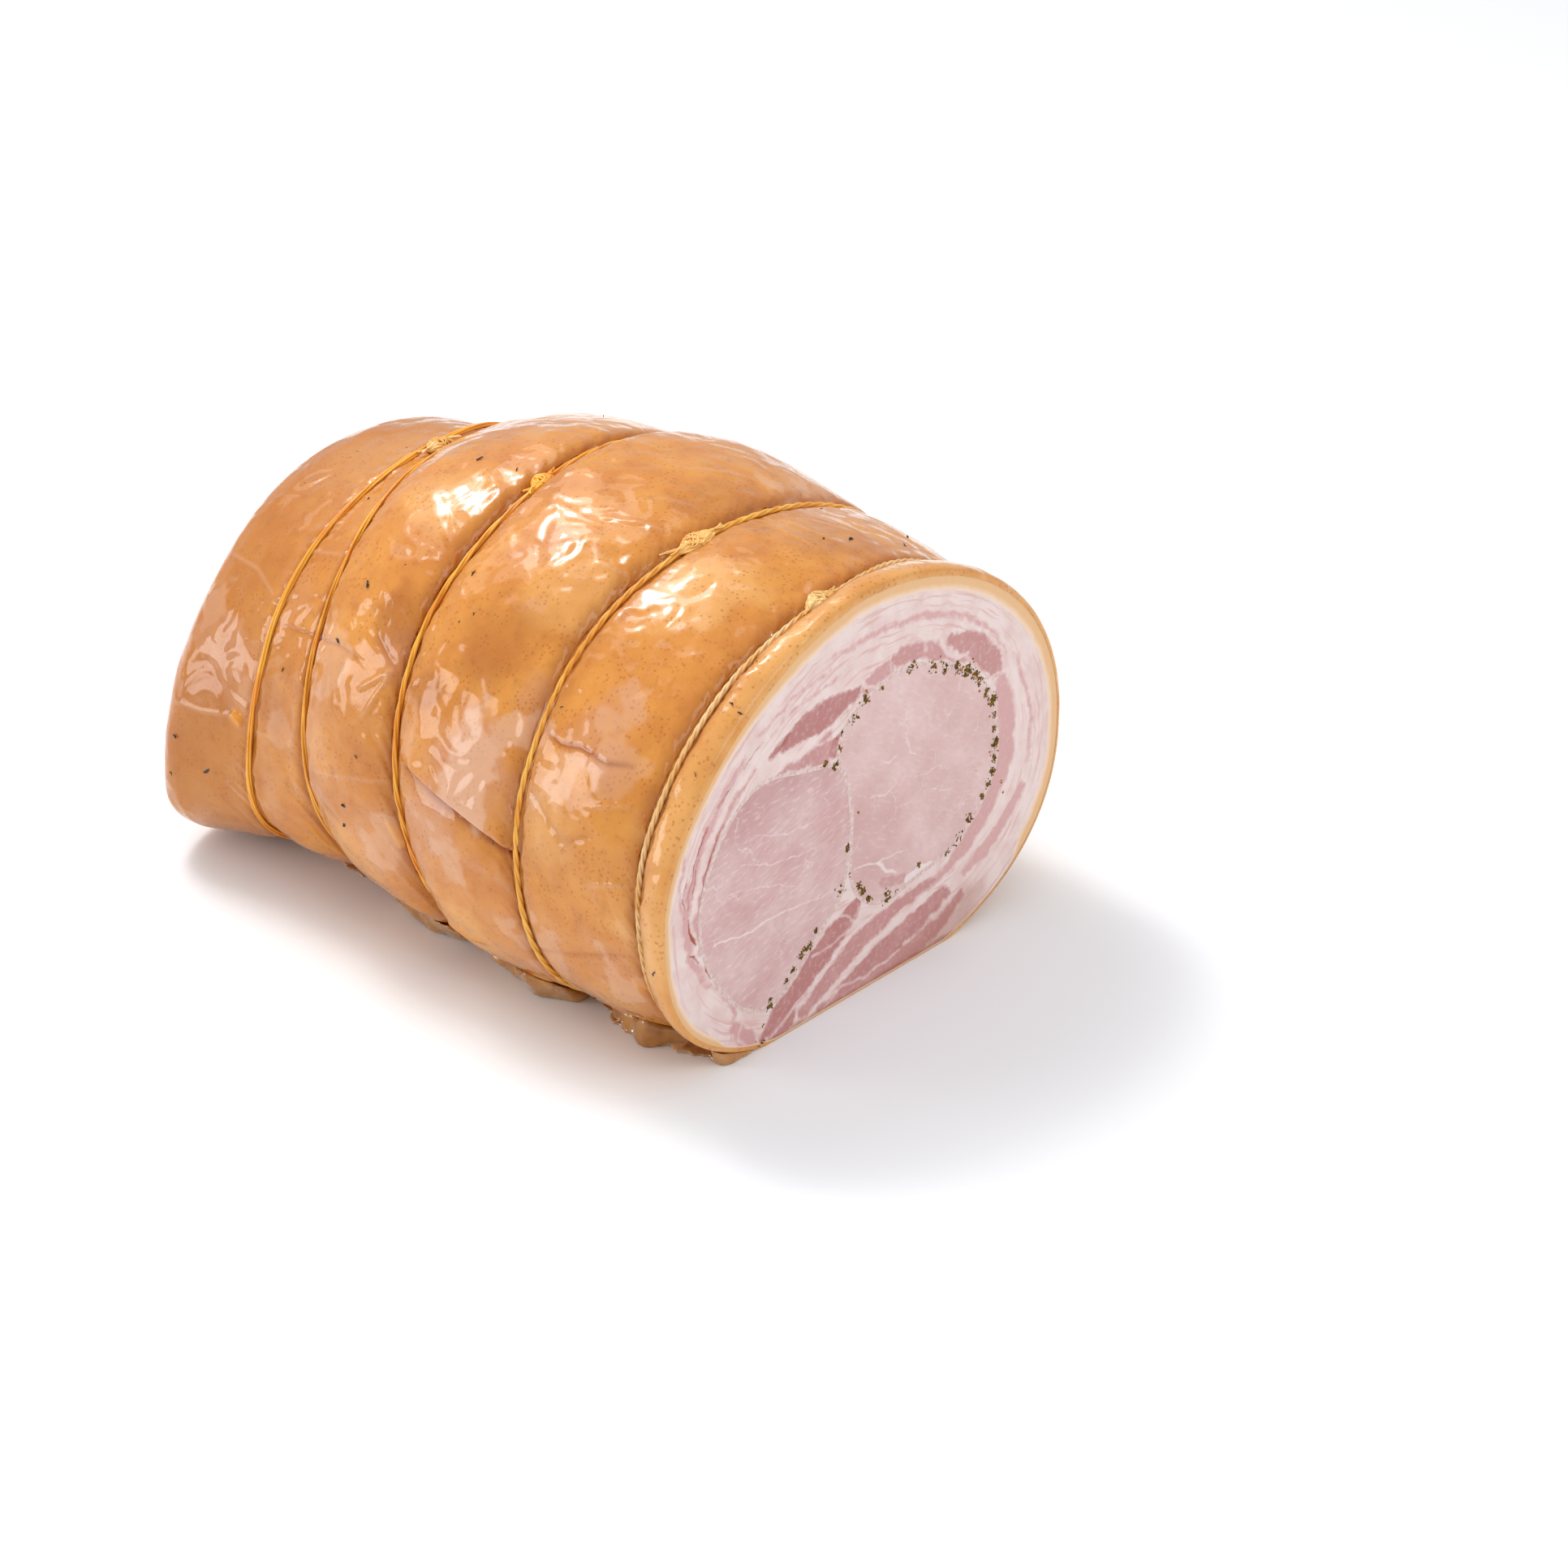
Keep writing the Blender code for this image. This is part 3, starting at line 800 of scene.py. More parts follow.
@dataclass(frozen=True)
class SoakedTwine:
    """Cotton butcher's twine, laid from thin yarns and soaked with roasting juices."""

    # The cotton is dull and fibrous, and the juices stain it from cream to amber in patches and leave a
    # thin shine. Its fibres wind round each strand, drawn coarser than real ones to show.
    name: str
    cream: str
    amber: str
    shade: str
    fibres_round: float = 14.0
    fibre_twist: float = 160.0

    def material(self) -> Material:
        """Builds the finish.

        Returns:
            The material, whose fibres follow the lengths that each strand carries.
        """
        made = Layup(self.name)
        made.draw("along", "around", soaked=(14 * MM, 2.0))
        along, around = made.sources["along"], made.sources["around"]
        wound = add_node(made.tree, MATH, {0: along, 1: self.fibre_twist}, 0, operation="MULTIPLY")
        spun = {0: around, 1: self.fibres_round, 2: wound}
        turned = add_node(made.tree, MATH, spun, 0, operation="MULTIPLY_ADD")
        place = add_node(made.tree, "ShaderNodeCombineXYZ", {"X": turned, "Y": along}, "Vector")
        made.draw(place=place, fibres=(1.0, 3.0))
        colour = made.lay(self.cream, Coat(self.amber, "soaked", 0.4, 0.62),
                          Coat(self.shade, "fibres", 0.5, 0.7, 0.42))
        return made.dress(colour, made.sources["fibres"], 0.6, 0.2 * MM, Roughness=0.55, Coat_Weight=0.35,
                          Coat_Roughness=0.2)


@dataclass(frozen=True)
class Crease:
    """A fine ridge or cut in the rind: (X in mm, clock in degrees) points, height and half width in mm."""

    points: tuple[tuple[float, float], ...]
    height: float
    half_width: float = 0.6
    red: float = 0.0
    amber: float = 0.0


@dataclass(frozen=True)
class Patch:
    """A zone of the rind with its own colour: its place (X in mm, clock in degrees), radius and strength."""

    x: float
    clock: float
    radius: float
    strength: float


CREASES = tuple(Crease(*row) for row in (
    (((-104, 147), (-83, 148), (-69, 152)), 0.35), (((-65, 140), (-46, 138)), 0.3),
    (((-64, 157), (-28, 155), (-14, 156)), -0.5, 0.7, 0.35), (((-66, 181), (-44, 179)), 0.35),
    (((-33, 181), (-12, 178), (3, 176)), 0.4), (((44, 108), (56, 106)), 0.3),
    (((61, 154), (70, 155.5), (78, 154.5), (89, 155.5), (99, 154)), -0.4, 0.6, 0.75),
    (((47, 121), (58, 120)), 0.3), (((60, 199), (105, 190)), -0.4, 0.6, 0.3),
    (((86, 164), (102, 161)), 0.3), (((-106, 181), (-90, 181), (-72, 179)), 0.4),
    (((90, 178), (106, 175)), 0.5, 0.8), (((-2, 155), (-14, 161)), 0.6, 0.9),
    (((-2, 155), (-10, 166)), 0.5, 0.8), (((-2, 155), (-13, 150)), -0.4, 0.9, 0.3),
    (((62, 165), (80, 172), (92, 168)), -0.35, 1.2, 0.2),
    (((10, 207), (18, 204.5), (25, 203), (33, 203.5), (41, 202)), 0.7, 0.9, 0, 0.8),
    (((44, 213), (52, 211), (58, 212)), 0.6, 0.9, 0, 0.6), (((-77, 179), (-72, 180.5)), 1.2, 1.6, 0, 1),
    (((103, 196), (109, 197), (112, 196)), 0.8, 1.2, 0, 0.9),
    (((-44, 196), (-40, 206), (-38, 214)), 0.5, 0.8, 0, 0.6), (((2, 184), (6, 190)), 0.7, 1.1, 0, 0.8),
    (((66, 214), (84, 211), (101, 213)), 0.3, 0.7, 0, 0.35),
))
FOLD = ((7, 170.5), (13, 171), (26, 173), (38, 174.5), (57, 178))
# Pinkish zones, partly the skin's own tint and partly painted soft reflection.
PINK_PATCHES = tuple(Patch(*row) for row in (
    (40, 166, 22, 0.7), (24, 180, 18, 0.6), (84, 151, 16, 0.55), (-81, 172, 18, 0.3), (66, 202, 26, 0.35),
    (96, 196, 16, 0.4), (-4, 152, 10, 0.5), (5, 190, 20, 0.5), (54, 149, 10, 0.5), (60, 60, 20, 0.3),
    (-60, 150, 12, 0.35),
))
# Paler zones, partly the skin's own colour and partly painted diffuse sheen.
PALE_PATCHES = tuple(Patch(*row) for row in (
    (84, 115, 22, 0.6), (121, 118, 14, 0.8), (122, 160, 18, 0.7), (120, 185, 20, 0.8), (44, 128, 18, 0.45),
    (-91, 203, 20, 0.3), (-20, 196, 18, 0.3), (35, 203, 16, 0.5), (70, 171, 16, 0.4), (-24, 120, 18, 0.4),
    (-80, 110, 20, 0.35), (90, 205, 14, 0.4),
))
# Pale patches of lifted glaze, which also paint the soft pinkish reflection of a large low light.
FILM_AND_SHEEN_PATCHES = tuple(Patch(*row) for row in (
    (38, 168, 11, 0.34), (50, 157, 8, 0.28), (90, 152, 11, 0.15), (76, 161, 8, 0.22), (-30, 158, 9, 0.22),
    (-88, 170, 12, 0.1), (66, 198, 10, 0.2), (-52, 178, 6, 0.14), (30, 183, 8, 0.2), (60, 150, 6, 0.24),
    (2, 190, 8, 0.2), (-96, 158, 6, 0.18), (96, 197, 8, 0.22), (60, 64, 10, 0.2), (-20, 70, 10, 0.2),
))
BROWN_PATCHES = tuple(Patch(*row) for row in (
    (-10, 147, 12, 0.5), (34, 143, 18, 0.35), (58, 141, 9, 0.45), (-60, 165, 12, 0.35), (-95, 165, 18, 0.4),
    (-30, 186, 14, 0.35), (60, 92, 20, 0.35), (-40, 92, 24, 0.3), (14, 155, 9, 0.4), (88, 80, 18, 0.3),
    (-108, 192, 30, 0.55), (-106, 170, 28, 0.4), (-108, 148, 26, 0.3), (-60, 172, 12, 0.4),
    (-60, 195, 12, 0.3), (-32, 214, 18, 0.4), (-86, 150, 18, 0.3), (-28, 165, 14, 0.25),
))


@dataclass
class Rind:
    """The outer skin of the roll, in bands that meet under the twine."""

    form: RollForm
    columns: int = 800
    row_spacing: float = 0.55 * MM
    edge_density: float = 0.6
    end_rows: int = 26
    undulation: tuple[float, float] = (0.40 * MM, 0.20 * MM)
    pleat: float = 0.45 * MM
    tie_lip: float = 0.55 * MM
    filling: float = 0.65 * MM
    ripple: float = 0.20 * MM
    inset: float = 0.25 * MM
    lip: float = 0.5 * MM
    grain: Grain = field(default_factory=lambda: Grain(3))
    second_grain: Grain = field(default_factory=lambda: Grain(11))

    def rows(self, start: float, end: float) -> Points:
        """The distances back of the rows between two ties, closer together beside them."""
        t = np.linspace(0, 1, math.ceil((end - start) / self.row_spacing) + 1)
        return start + (end - start) * (t - self.edge_density * np.sin(TAU * t) / TAU)

    def crease_field(self, points: Points, marks: tuple[tuple[float, float], ...]) -> tuple[Points, Points]:
        """How each point lies to a line on the skin.

        Args:
            points: Points on the skin.
            marks: The line's (X in mm, clock in degrees) points.

        Returns:
            The signed distance to the line in mm, positive above it, and a share that fades at its ends.
        """
        reach = self.form.reach(points) / MM
        clock, x = self.form.clock(points), points[..., 0] / MM
        best, above, fade = (np.full(x.shape, start) for start in (1e3, 0.0, 0.0))
        for i, ((x0, c0), (x1, c1)) in enumerate(zip(marks, marks[1:])):
            run, rise = x1 - x0, np.radians(c0 - c1) * reach
            dx, dy = x - x0, np.radians(c0 - clock) * reach
            t = np.clip((dx * run + dy * rise) / (run**2 + rise**2), 0, 1)
            off = np.hypot(dx - t * run, dy - t * rise)
            nearer = off < best
            best = np.where(nearer, off, best)
            above = np.where(nearer, np.sign(dy - t * rise), above)
            whole = (i + t) / (len(marks) - 1)
            fade = np.where(nearer, np.clip(6 * whole * (1 - whole), 0, 1) ** 0.5, fade)
        return best * above, fade

    def patch_field(self, points: Points, patches: tuple[Patch, ...], soft: float = 0.75,
                    raggedness: float = 0.35) -> Points:
        """The strongest of these patches at each point, with ragged edges.

        Args:
            points: Points on the skin.
            patches: The patches.
            soft: The share of its radius over which a patch fades.
            raggedness: How far its edge wanders, as a share of its radius.

        Returns:
            Strengths from 0 to 1.
        """
        x, clock, reach = points[..., 0] / MM, self.form.clock(points), self.form.reach(points) / MM
        ragged = raggedness * self.second_grain.at(points, 9 * MM, 3)
        total = np.zeros(x.shape)
        for patch in patches:
            turn = (clock - patch.clock + 180) % 360 - 180
            off = np.hypot(x - patch.x, np.radians(turn) * reach) / patch.radius
            total = np.maximum(total, patch.strength * (1 - smooth_step(off + ragged, 1.1 - soft, 1.1)))
        return total

    def swelling(self, points: Points, gap: Points, start: Points) -> Points:
        """The skin's soft humps, its pleats and lips beside the ties and the ripple of its glaze.

        Args:
            points: The grid of points on the smooth form.
            gap: How far each row is from the nearest tie.
            start: A share of each row that rises behind the cut face.

        Returns:
            Heights in metres.
        """
        grain, second = self.grain, self.second_grain
        low, high = self.undulation
        height = low * grain.at(points, 26 * MM) + high * second.at(points, 11 * MM)
        reach = np.clip(self.form.reach(points), 50 * MM, None)
        arc = np.radians((self.form.clock(points) + 90) % 360) * reach
        pleats = np.stack([arc, 0.16 * points[..., 0], 0 * arc], axis=-1)
        near_tie = np.exp(-np.clip(gap - self.form.groove_half_width, 0, None) / (5 * MM))
        height = height + (self.pleat * near_tie * grain.at(pleats, 4.2 * MM, 2)
                           * smooth_step(gap, 0.8 * MM, 2.4 * MM))
        lips = smooth_step(gap, 0.5 * MM, 2.2 * MM) * (1 - smooth_step(gap, 2.6 * MM, 9 * MM))
        filled = 1 - smooth_step(gap, 1.0 * MM, 2.4 * MM)
        filled = self.filling * filled * (0.8 + 0.5 * second.at(points, 6 * MM))
        height = height + (self.tie_lip * lips + filled) * start
        wet = smooth_step(second.at(points + 0.3, 30 * MM, 2), -0.35, 0.4)
        ridges = 1 - np.abs(grain.at(points + 0.1, 10 * MM)) * 2
        cross = 1 - np.abs(second.at(points + 0.7, 6 * MM)) * 2
        return height + self.ripple * wet * (ridges + 0.4 * cross) + 0.02 * MM * second.at(points, 2.4 * MM)

    def relief(self, points: Points, back: Points) -> tuple[Points, dict[str, Points]]:
        """How far each point of the skin stands out, and the masks for its colour.

        Args:
            points: The grid of points on the smooth form.
            back: The distance back of each row.

        Returns:
            Heights in metres and the masks by name.
        """
        rows = back[:, None]
        gap = np.abs(rows - np.array([tie.back for tie in TIES])).min(axis=1)[:, None]
        height = self.swelling(points, gap, smooth_step(rows, 0, 4 * MM))
        film_and_sheen, red, amber = (np.zeros(height.shape) for _ in range(3))
        for crease in (*CREASES, *self.crest_pleats()):
            off, fade = self.crease_field(points, crease.points)
            ridge = np.exp(-(off / crease.half_width) ** 2) * fade
            height = height + crease.height * MM * ridge
            # Raised creases get a pale line that paints the glint along their ridge.
            if crease.height > 0 and crease.amber == 0:
                film_and_sheen = np.maximum(film_and_sheen, 0.16 * ridge * min(1, crease.height / 0.35))
            stain = np.exp(-(off / (1.6 * crease.half_width)) ** 2) * fade
            red = np.maximum(red, crease.red * stain)
            amber = np.maximum(amber, crease.amber * stain)
        off = self.crease_field(points, FOLD)[0]
        far = np.abs(off)
        pouch = np.where(off > 0, 3.0 * np.exp(-far / 12) * (1 - np.exp(-far / 0.9)),
                         -2.3 * np.exp(-far / 3.2) + 1.0 * np.exp(-((off + 9) / 5) ** 2))
        inside = smooth_step(points[..., 0] / MM, 7, 17) * (1 - smooth_step(points[..., 0] / MM, 57, 62))
        height = height + pouch * MM * inside
        # Painted shade: a dark red line just under the fold, where the overhang shades the rind.
        red = np.maximum(red, 0.85 * np.exp(-((off + 1.2) / 1.6) ** 2) * inside)
        grainy = 0.8 + 0.4 * self.second_grain.at(points, 8 * MM, 2)
        fore = 0.6 * (1 - smooth_step(rows, 6 * MM, 11 * MM)) * grainy
        roasted = 0.55 * smooth_step(-points[..., 0], 30 * MM, 100 * MM)
        # Painted shade in the grooves beside the ties, laid into the brown mask.
        groove_shade = 0.6 * np.exp(-(gap / (4.6 * MM)) ** 2) * smooth_step(rows, 4 * MM, 9 * MM)
        masks = {
            "pale": np.clip(np.maximum(self.patch_field(points, PALE_PATCHES), fore), 0, 1),
            "pink": self.patch_field(points, PINK_PATCHES),
            "brown": np.maximum(np.maximum(self.patch_field(points, BROWN_PATCHES), roasted), groove_shade),
            "film_and_sheen": np.maximum(film_and_sheen, self.patch_field(points, FILM_AND_SHEEN_PATCHES, 0.35, 1.1)),
            "red": red,
            "amber": amber,
        }
        meeting = smooth_step(self.form.last - rows, 0, 9 * MM)
        settled = smooth_step(points[..., 2], 1.0 * MM, 9 * MM) * smooth_step(rows, 0.5 * MM, 5 * MM)
        return meeting * (height * settled - self.inset * smooth_step(rows, 0, 2 * MM)), masks

    @staticmethod
    def crest_pleats() -> list[Crease]:
        """Draws fine pleats across the crest and the far shoulder, towards the second tie.

        Returns:
            The fan of pleats.
        """
        rng = np.random.default_rng(5)
        fan = []
        for i in range(8):
            clock = 104 - 8.5 * i + rng.uniform(-4, 4)
            start, end = rng.uniform(24, 36), rng.uniform(48, 62)
            drop = rng.uniform(8, 18)
            bend = clock - 0.6 * drop + rng.uniform(-2, 2)
            marks = ((start, clock), ((start + end) / 2, bend), (end, clock - drop))
            fan.append(Crease(marks, rng.uniform(0.1, 0.28), 0.9))
        for i in range(6):
            clock = 92 - 8 * i + rng.uniform(-4, 4)
            marks = ((72, clock), (84 + rng.uniform(0, 10), clock - rng.uniform(0, 9)))
            fan.append(Crease(marks, rng.uniform(0.1, 0.25), 0.8))
        return fan

    def band(self, name: str, back: Points, material: Material, lipped: bool) -> None:
        """Builds one band of rind.

        Args:
            name: The piece's name.
            back: Distances back of its rows.
            material: The rind's finish.
            lipped: Whether its front edge rounds into the cut face.
        """
        angles = np.arange(self.columns) * TAU / self.columns - math.pi / 2
        base = self.form.skin(back, angles)
        height, masks = self.relief(base, back)
        points = base + outward(base) * height[..., None]
        points[..., 2] = np.maximum(points[..., 2], FLOOR_GAP)
        if lipped:
            drop = np.clip(1 - back / self.lip, 0, 1)[:, None]
            inward = np.stack([0 * angles, -np.cos(angles), -np.sin(angles)], axis=-1)
            points = points + inward * (self.lip * (1 - np.sqrt(1 - drop**2)))[..., None]
            points[..., 2] = np.maximum(points[..., 2], FLOOR_GAP)
        attributes = {key: values.ravel() for key, values in masks.items()}
        faces = grid_faces(len(back), self.columns)
        settle(mesh_piece(name, points.reshape(-1, 3), faces, material, attributes), Slot.RIND, "belly_wrap")

    def build(self) -> None:
        """Builds all bands, from the cut face to the rounded end."""
        material = GlazedRind().material()
        edges = [0.0, *(tie.back for tie in TIES), self.form.rim]
        for i, (start, end) in enumerate(zip(edges, edges[1:])):
            back = self.rows(start, end)
            if i == 0:
                back = np.concatenate([self.lip * np.linspace(0, 0.9, 6) ** 2, back[back > self.lip]])
            if i == len(edges) - 2:
                turn = np.sin(np.linspace(0, math.pi / 2, self.end_rows))[1:]
                back = np.concatenate([back, self.form.rim + self.form.round_off * turn])
            self.band(f"rind_band_{i + 1}", back, material, lipped=i == 0)


class Outline:
    """A closed outline, and how far inside it any flat place lies."""

    CELL = 0.7 * MM
    MARGIN = 9 * MM

    def __init__(self, corners: Points) -> None:
        """Works out the depths on a fine grid.

        Args:
            corners: The outline's corners, in order.
        """
        self.low = corners.min(axis=0) - self.MARGIN
        reach = corners.max(axis=0) + self.MARGIN - self.low
        count = np.ceil(reach / self.CELL).astype(int) + 1
        axes = (np.arange(n) * self.CELL for n in count)
        grid = np.stack(np.meshgrid(*axes, indexing="ij"), axis=-1) + self.low
        self.depths = np.concatenate([self.exact(row, corners) for row in grid]).reshape(count)

    @staticmethod
    def exact(places: Points, corners: Points) -> Points:
        """Works out how far inside the outline each place lies.

        Args:
            places: N flat places.
            corners: The outline's corners, in order.

        Returns:
            N depths, negative outside.
        """
        after = np.roll(corners, -1, axis=0)
        way = after - corners
        from_corner = places[:, None, :] - corners
        t = np.clip((from_corner * way).sum(-1) / (way**2).sum(-1), 0, 1)
        y, z = np.moveaxis(from_corner - t[..., None] * way, -1, 0)
        off = np.sqrt((y * y + z * z).min(axis=1))
        rise = np.where(np.abs(way[:, 1]) < 1e-12, 1e-12, way[:, 1])
        crosses = (corners[:, 1] > places[:, 1:]) != (after[:, 1] > places[:, 1:])
        hits = crosses & (from_corner[..., 0] < way[:, 0] * from_corner[..., 1] / rise)
        return np.where(hits.sum(axis=1) % 2 == 1, off, -off)

    def depth(self, places: Points) -> Points:
        """Reads from the grid how far inside the outline each place lies.

        Args:
            places: N flat places.

        Returns:
            N depths, negative outside.
        """
        cell = np.clip((places - self.low) / self.CELL, 0, np.array(self.depths.shape) - 1.001)
        i, j = np.floor(cell).astype(int).T
        u, v = (cell - np.floor(cell)).T
        d = self.depths
        return ((1 - u) * (1 - v) * d[i, j] + u * (1 - v) * d[i + 1, j]
                + (1 - u) * v * d[i, j + 1] + u * v * d[i + 1, j + 1])


def line_depth(points: Points, *lines: Line) -> Points:
    """How far inside the nearest of some tapering lines each point lies.

    Args:
        points: N flat places.
        lines: The (Y, Z, half width) marks of each line, in mm.

    Returns:
        N depths, negative outside.
    """
    best = np.full(len(points), -1.0)
    for line in lines:
        marks = np.array(line) * MM
        for first, second in zip(marks, marks[1:]):
            way = second[:2] - first[:2]
            t = np.clip((points - first[:2]) @ way / (way @ way), 0, 1)
            off = np.linalg.norm(points - first[:2] - t[:, None] * way, axis=1)
            best = np.maximum(best, first[2] + (second[2] - first[2]) * t - off)
    return best


LEAN_LINES: tuple[tuple[float, Line], ...] = (
    (0.85, ((-50, 99.5, 0.8), (-44, 101, 2.6), (-36, 103, 4.6), (-27, 103.8, 5.4), (-18, 104.5, 4),
         (-11, 105.5, 1.8))),
    (0.55, ((-47, 91.5, 0.8), (-38, 92, 1.8), (-30, 91.5, 2.6), (-25, 91, 3.6))),
    (0.85, ((-25, 90.5, 3), (-20.5, 91.5, 3.4))),
    (0.4, ((-28, 96, 1.4), (-25, 96.5, 1.6))),
    (0.35, ((-7, 106, 2.2), (-3, 108, 3), (3, 108.5, 2.8))),
    (0.5, ((7, 110, 2.5), (12, 110.5, 3.2), (18, 109.5, 3))),
    (0.45, ((21, 108, 2.8), (25, 106, 2.8), (29, 104.5, 2.2), (34, 101, 1.5), (40, 97.5, 1))),
    (0.6, ((32, 107.5, 1.8), (38, 105, 3), (45, 100.5, 4.4), (51, 95, 4.8), (55, 90, 3.6))),
    (0.2, ((58, 83.5, 3), (60.5, 76, 4.4), (61.2, 66, 4.8), (60.7, 57, 4.8), (57.5, 48, 4.2), (51, 39, 3.6),
         (43, 32, 3), (35, 27.5, 2.2), (26, 24.5, 1.5))),
    (0.8, ((-55, 3, 1.5), (-48, 8, 3.6), (-40, 13, 4.6), (-31, 19, 4.6), (-22, 25, 4.8), (-14, 30, 3.6),
         (-10, 33, 2))),
    (0.75, ((-50, 2.5, 2.4), (-42, 5.5, 3.2))),
    (0.55, ((-36, 4, 2.2), (-25, 10, 3.6), (-12, 17.5, 4.2), (2, 21.5, 3.4), (15, 24, 2.7),
         (27, 25.5, 1.4))),
    (0.7, ((-18, 4, 2.8), (-5, 8, 4), (8, 11, 4.6), (20, 14, 4.4), (31, 18, 3))),
    (0.5, ((-28, 2, 1.5), (-10, 2.5, 2.5), (10, 3.5, 3), (28, 7, 3.6), (40, 14, 2))),
    (0.15, ((42, 22, 1.5), (52, 26, 2.6), (62, 33, 2.4), (70, 42, 1.4))),
    (0.3, ((-67, 13, 2), (-63, 8, 3.6), (-60, 3, 3.2))),
    (0.1, ((-24, 121.5, 0.6), (0, 123, 0.9), (20, 120.5, 1), (38, 114, 0.9), (53, 104, 0.9), (63, 92, 0.9),
         (71, 78, 0.8), (74, 65, 0.7), (73, 50, 0.5))),
    (0.15, ((-62, 103, 0.8), (-72, 94, 1.1), (-80, 82, 1.4), (-86, 68, 1.6), (-88, 56, 1.7), (-86, 45, 1.3),
         (-80, 36, 0.9))),
    (0.3, ((-58, 96.5, 0.6), (-68, 89.5, 0.9), (-76, 78, 1.1), (-81, 66, 1.1), (-83.5, 56, 1),
         (-81.5, 46, 0.8))),
    (0.2, ((-87.5, 47, 0.3), (-84.5, 41.5, 0.5), (-79, 33.5, 0.6), (-71.5, 27, 0.7), (-67.5, 20, 0.7),
         (-67, 13, 0.6), (-70, 8, 0.4))),
    (0.15, ((-90, 62, 0.4), (-90.5, 72, 0.5), (-87.5, 84, 0.5), (-80, 96, 0.4))),
    (0.15, ((-56, 108, 0.4), (-40, 115, 0.5), (-22, 118, 0.4))),
    (0.15, ((-50, 106.5, 0.3), (-36, 112, 0.4), (-20, 114, 0.3))),
)
STRAND_LINES = (
    ((-52, 100.5, 0.6), (-60, 94, 0.6), (-68, 86, 0.7), (-75, 77, 0.7), (-79.5, 68, 0.6), (-81.5, 58, 0.5),
         (-80.5, 48, 0.5), (-77, 40, 0.6), (-70, 29, 0.7), (-67, 22, 0.5)),
    ((-46, 96.2, 0.9), (-38, 95, 1.1), (-30, 96.5, 1), (-24, 99, 0.8), (-14, 102.5, 0.6)),
    ((28, 109, 0.8), (29.5, 105.5, 1), (32.5, 102.5, 1.1), (37, 100.3, 1.2), (41.5, 99.8, 0.6)),
    ((-9.5, 110, 0.5), (-7.5, 106, 0.7), (-3, 104, 0.5)),
    ((46, 111.5, 0.7), (55, 104, 1), (62, 94, 1.2), (65.3, 84, 1.3), (67.5, 74, 1.5), (68, 64, 1.5),
         (67, 54, 1.4), (63, 45, 1.3), (56, 37, 1.2), (47, 29.5, 1), (38, 25, 0.7)),
    ((-51, 2, 0.4), (-40, 8.5, 0.5), (-28, 14.5, 0.5), (-18, 20.5, 0.5), (-8, 24.3, 0.5), (4, 25.8, 0.4),
         (20, 27, 0.4)),
    ((-36, 0.5, 0.5), (-24, 6, 0.7), (-12, 12, 0.7), (0, 16, 0.6), (12, 18.3, 0.5), (26, 21, 0.4)),
    ((-28, 0.5, 0.3), (-18, 5.5, 0.4), (-6, 4.5, 0.4), (8, 6, 0.4)),
    ((-28, 31, 0.3), (-22, 31.5, 0.4), (-16, 30, 0.3), (-11, 26, 0.3)),
    ((-31, 22, 0.3), (-22, 22.5, 0.3), (-15, 25, 0.3)),
    ((51.5, 85.5, 0.7), (56, 88, 0.6), (61.5, 86.5, 0.4)),
    ((5, 113, 0.35), (4, 109, 0.35), (5, 106, 0.25)),
    ((20, 112.5, 0.3), (20.5, 108, 0.3)),
    ((-67, 16, 0.3), (-63, 12, 0.4), (-58, 8, 0.3), (-57, 3, 0.3)),
    ((-62, 5, 0.3), (-66, 8, 0.4), (-64, 12, 0.3)),
)
SLIT_LINES = (
    ((-66, 97, 0.1), (-70, 94.3, 0.2), (-74, 91, 0.1)),
    ((-78, 86, 0.1), (-81, 81, 0.25), (-83.5, 76, 0.1)),
    ((-70, 86, 0.1), (-74, 81, 0.25), (-77.5, 75, 0.3), (-80, 69, 0.25), (-82, 62, 0.1)),
    ((-85.8, 59, 0.2), (-86, 54, 0.4), (-85, 51.5, 0.7), (-83.8, 49, 0.3)),
    ((-86, 47, 0.2), (-84, 45.5, 0.3), (-82, 42, 0.2)),
    ((-80.5, 41, 0.1), (-79.5, 38.5, 0.4), (-77, 35.5, 0.5)),
    ((-77.2, 38.5, 0.2), (-75.5, 35.5, 0.5), (-73.5, 33, 0.4), (-71.5, 31, 0.2)),
    ((-88.5, 60, 0.1), (-89, 66, 0.2), (-87, 73, 0.1)),
    ((-84.5, 66, 0.1), (-83.5, 72, 0.2), (-81, 78, 0.1)),
    ((-82.5, 58, 0.1), (-82.5, 52, 0.2), (-81.2, 46, 0.1)),
    ((-87, 62, 0.1), (-85.5, 70, 0.15), (-82.5, 78, 0.1)),
    ((-63, 99.5, 0.05), (-58, 103, 0.15), (-53, 105.5, 0.05)),
    ((-47, 100, 0.1), (-44.5, 101.5, 0.3), (-42, 104, 0.1)),
)
EYE_STRANDS = (
    ((0, 78, 0.15), (4, 76, 0.25), (8, 77, 0.15)),
    ((12, 80, 0.15), (14, 76, 0.2), (19, 72, 0.15)),
    ((-12, 45, 0.3), (-4, 44, 0.35), (4, 42.3, 0.3), (13, 41.5, 0.15)),
    ((-1, 43, 0.35), (3, 38.5, 0.5), (8.5, 36, 0.4)),
    ((16, 66, 0.1), (24, 65, 0.15), (30, 66, 0.1)),
    ((13, 31.3, 1.2), (20, 31.8, 1.9), (26.5, 31.3, 1.1)),
    ((24, 59, 0.1), (29, 56, 0.2), (34, 55, 0.1)),
    ((-5, 68, 0.1), (2, 66, 0.2), (8, 68, 0.1)),
)
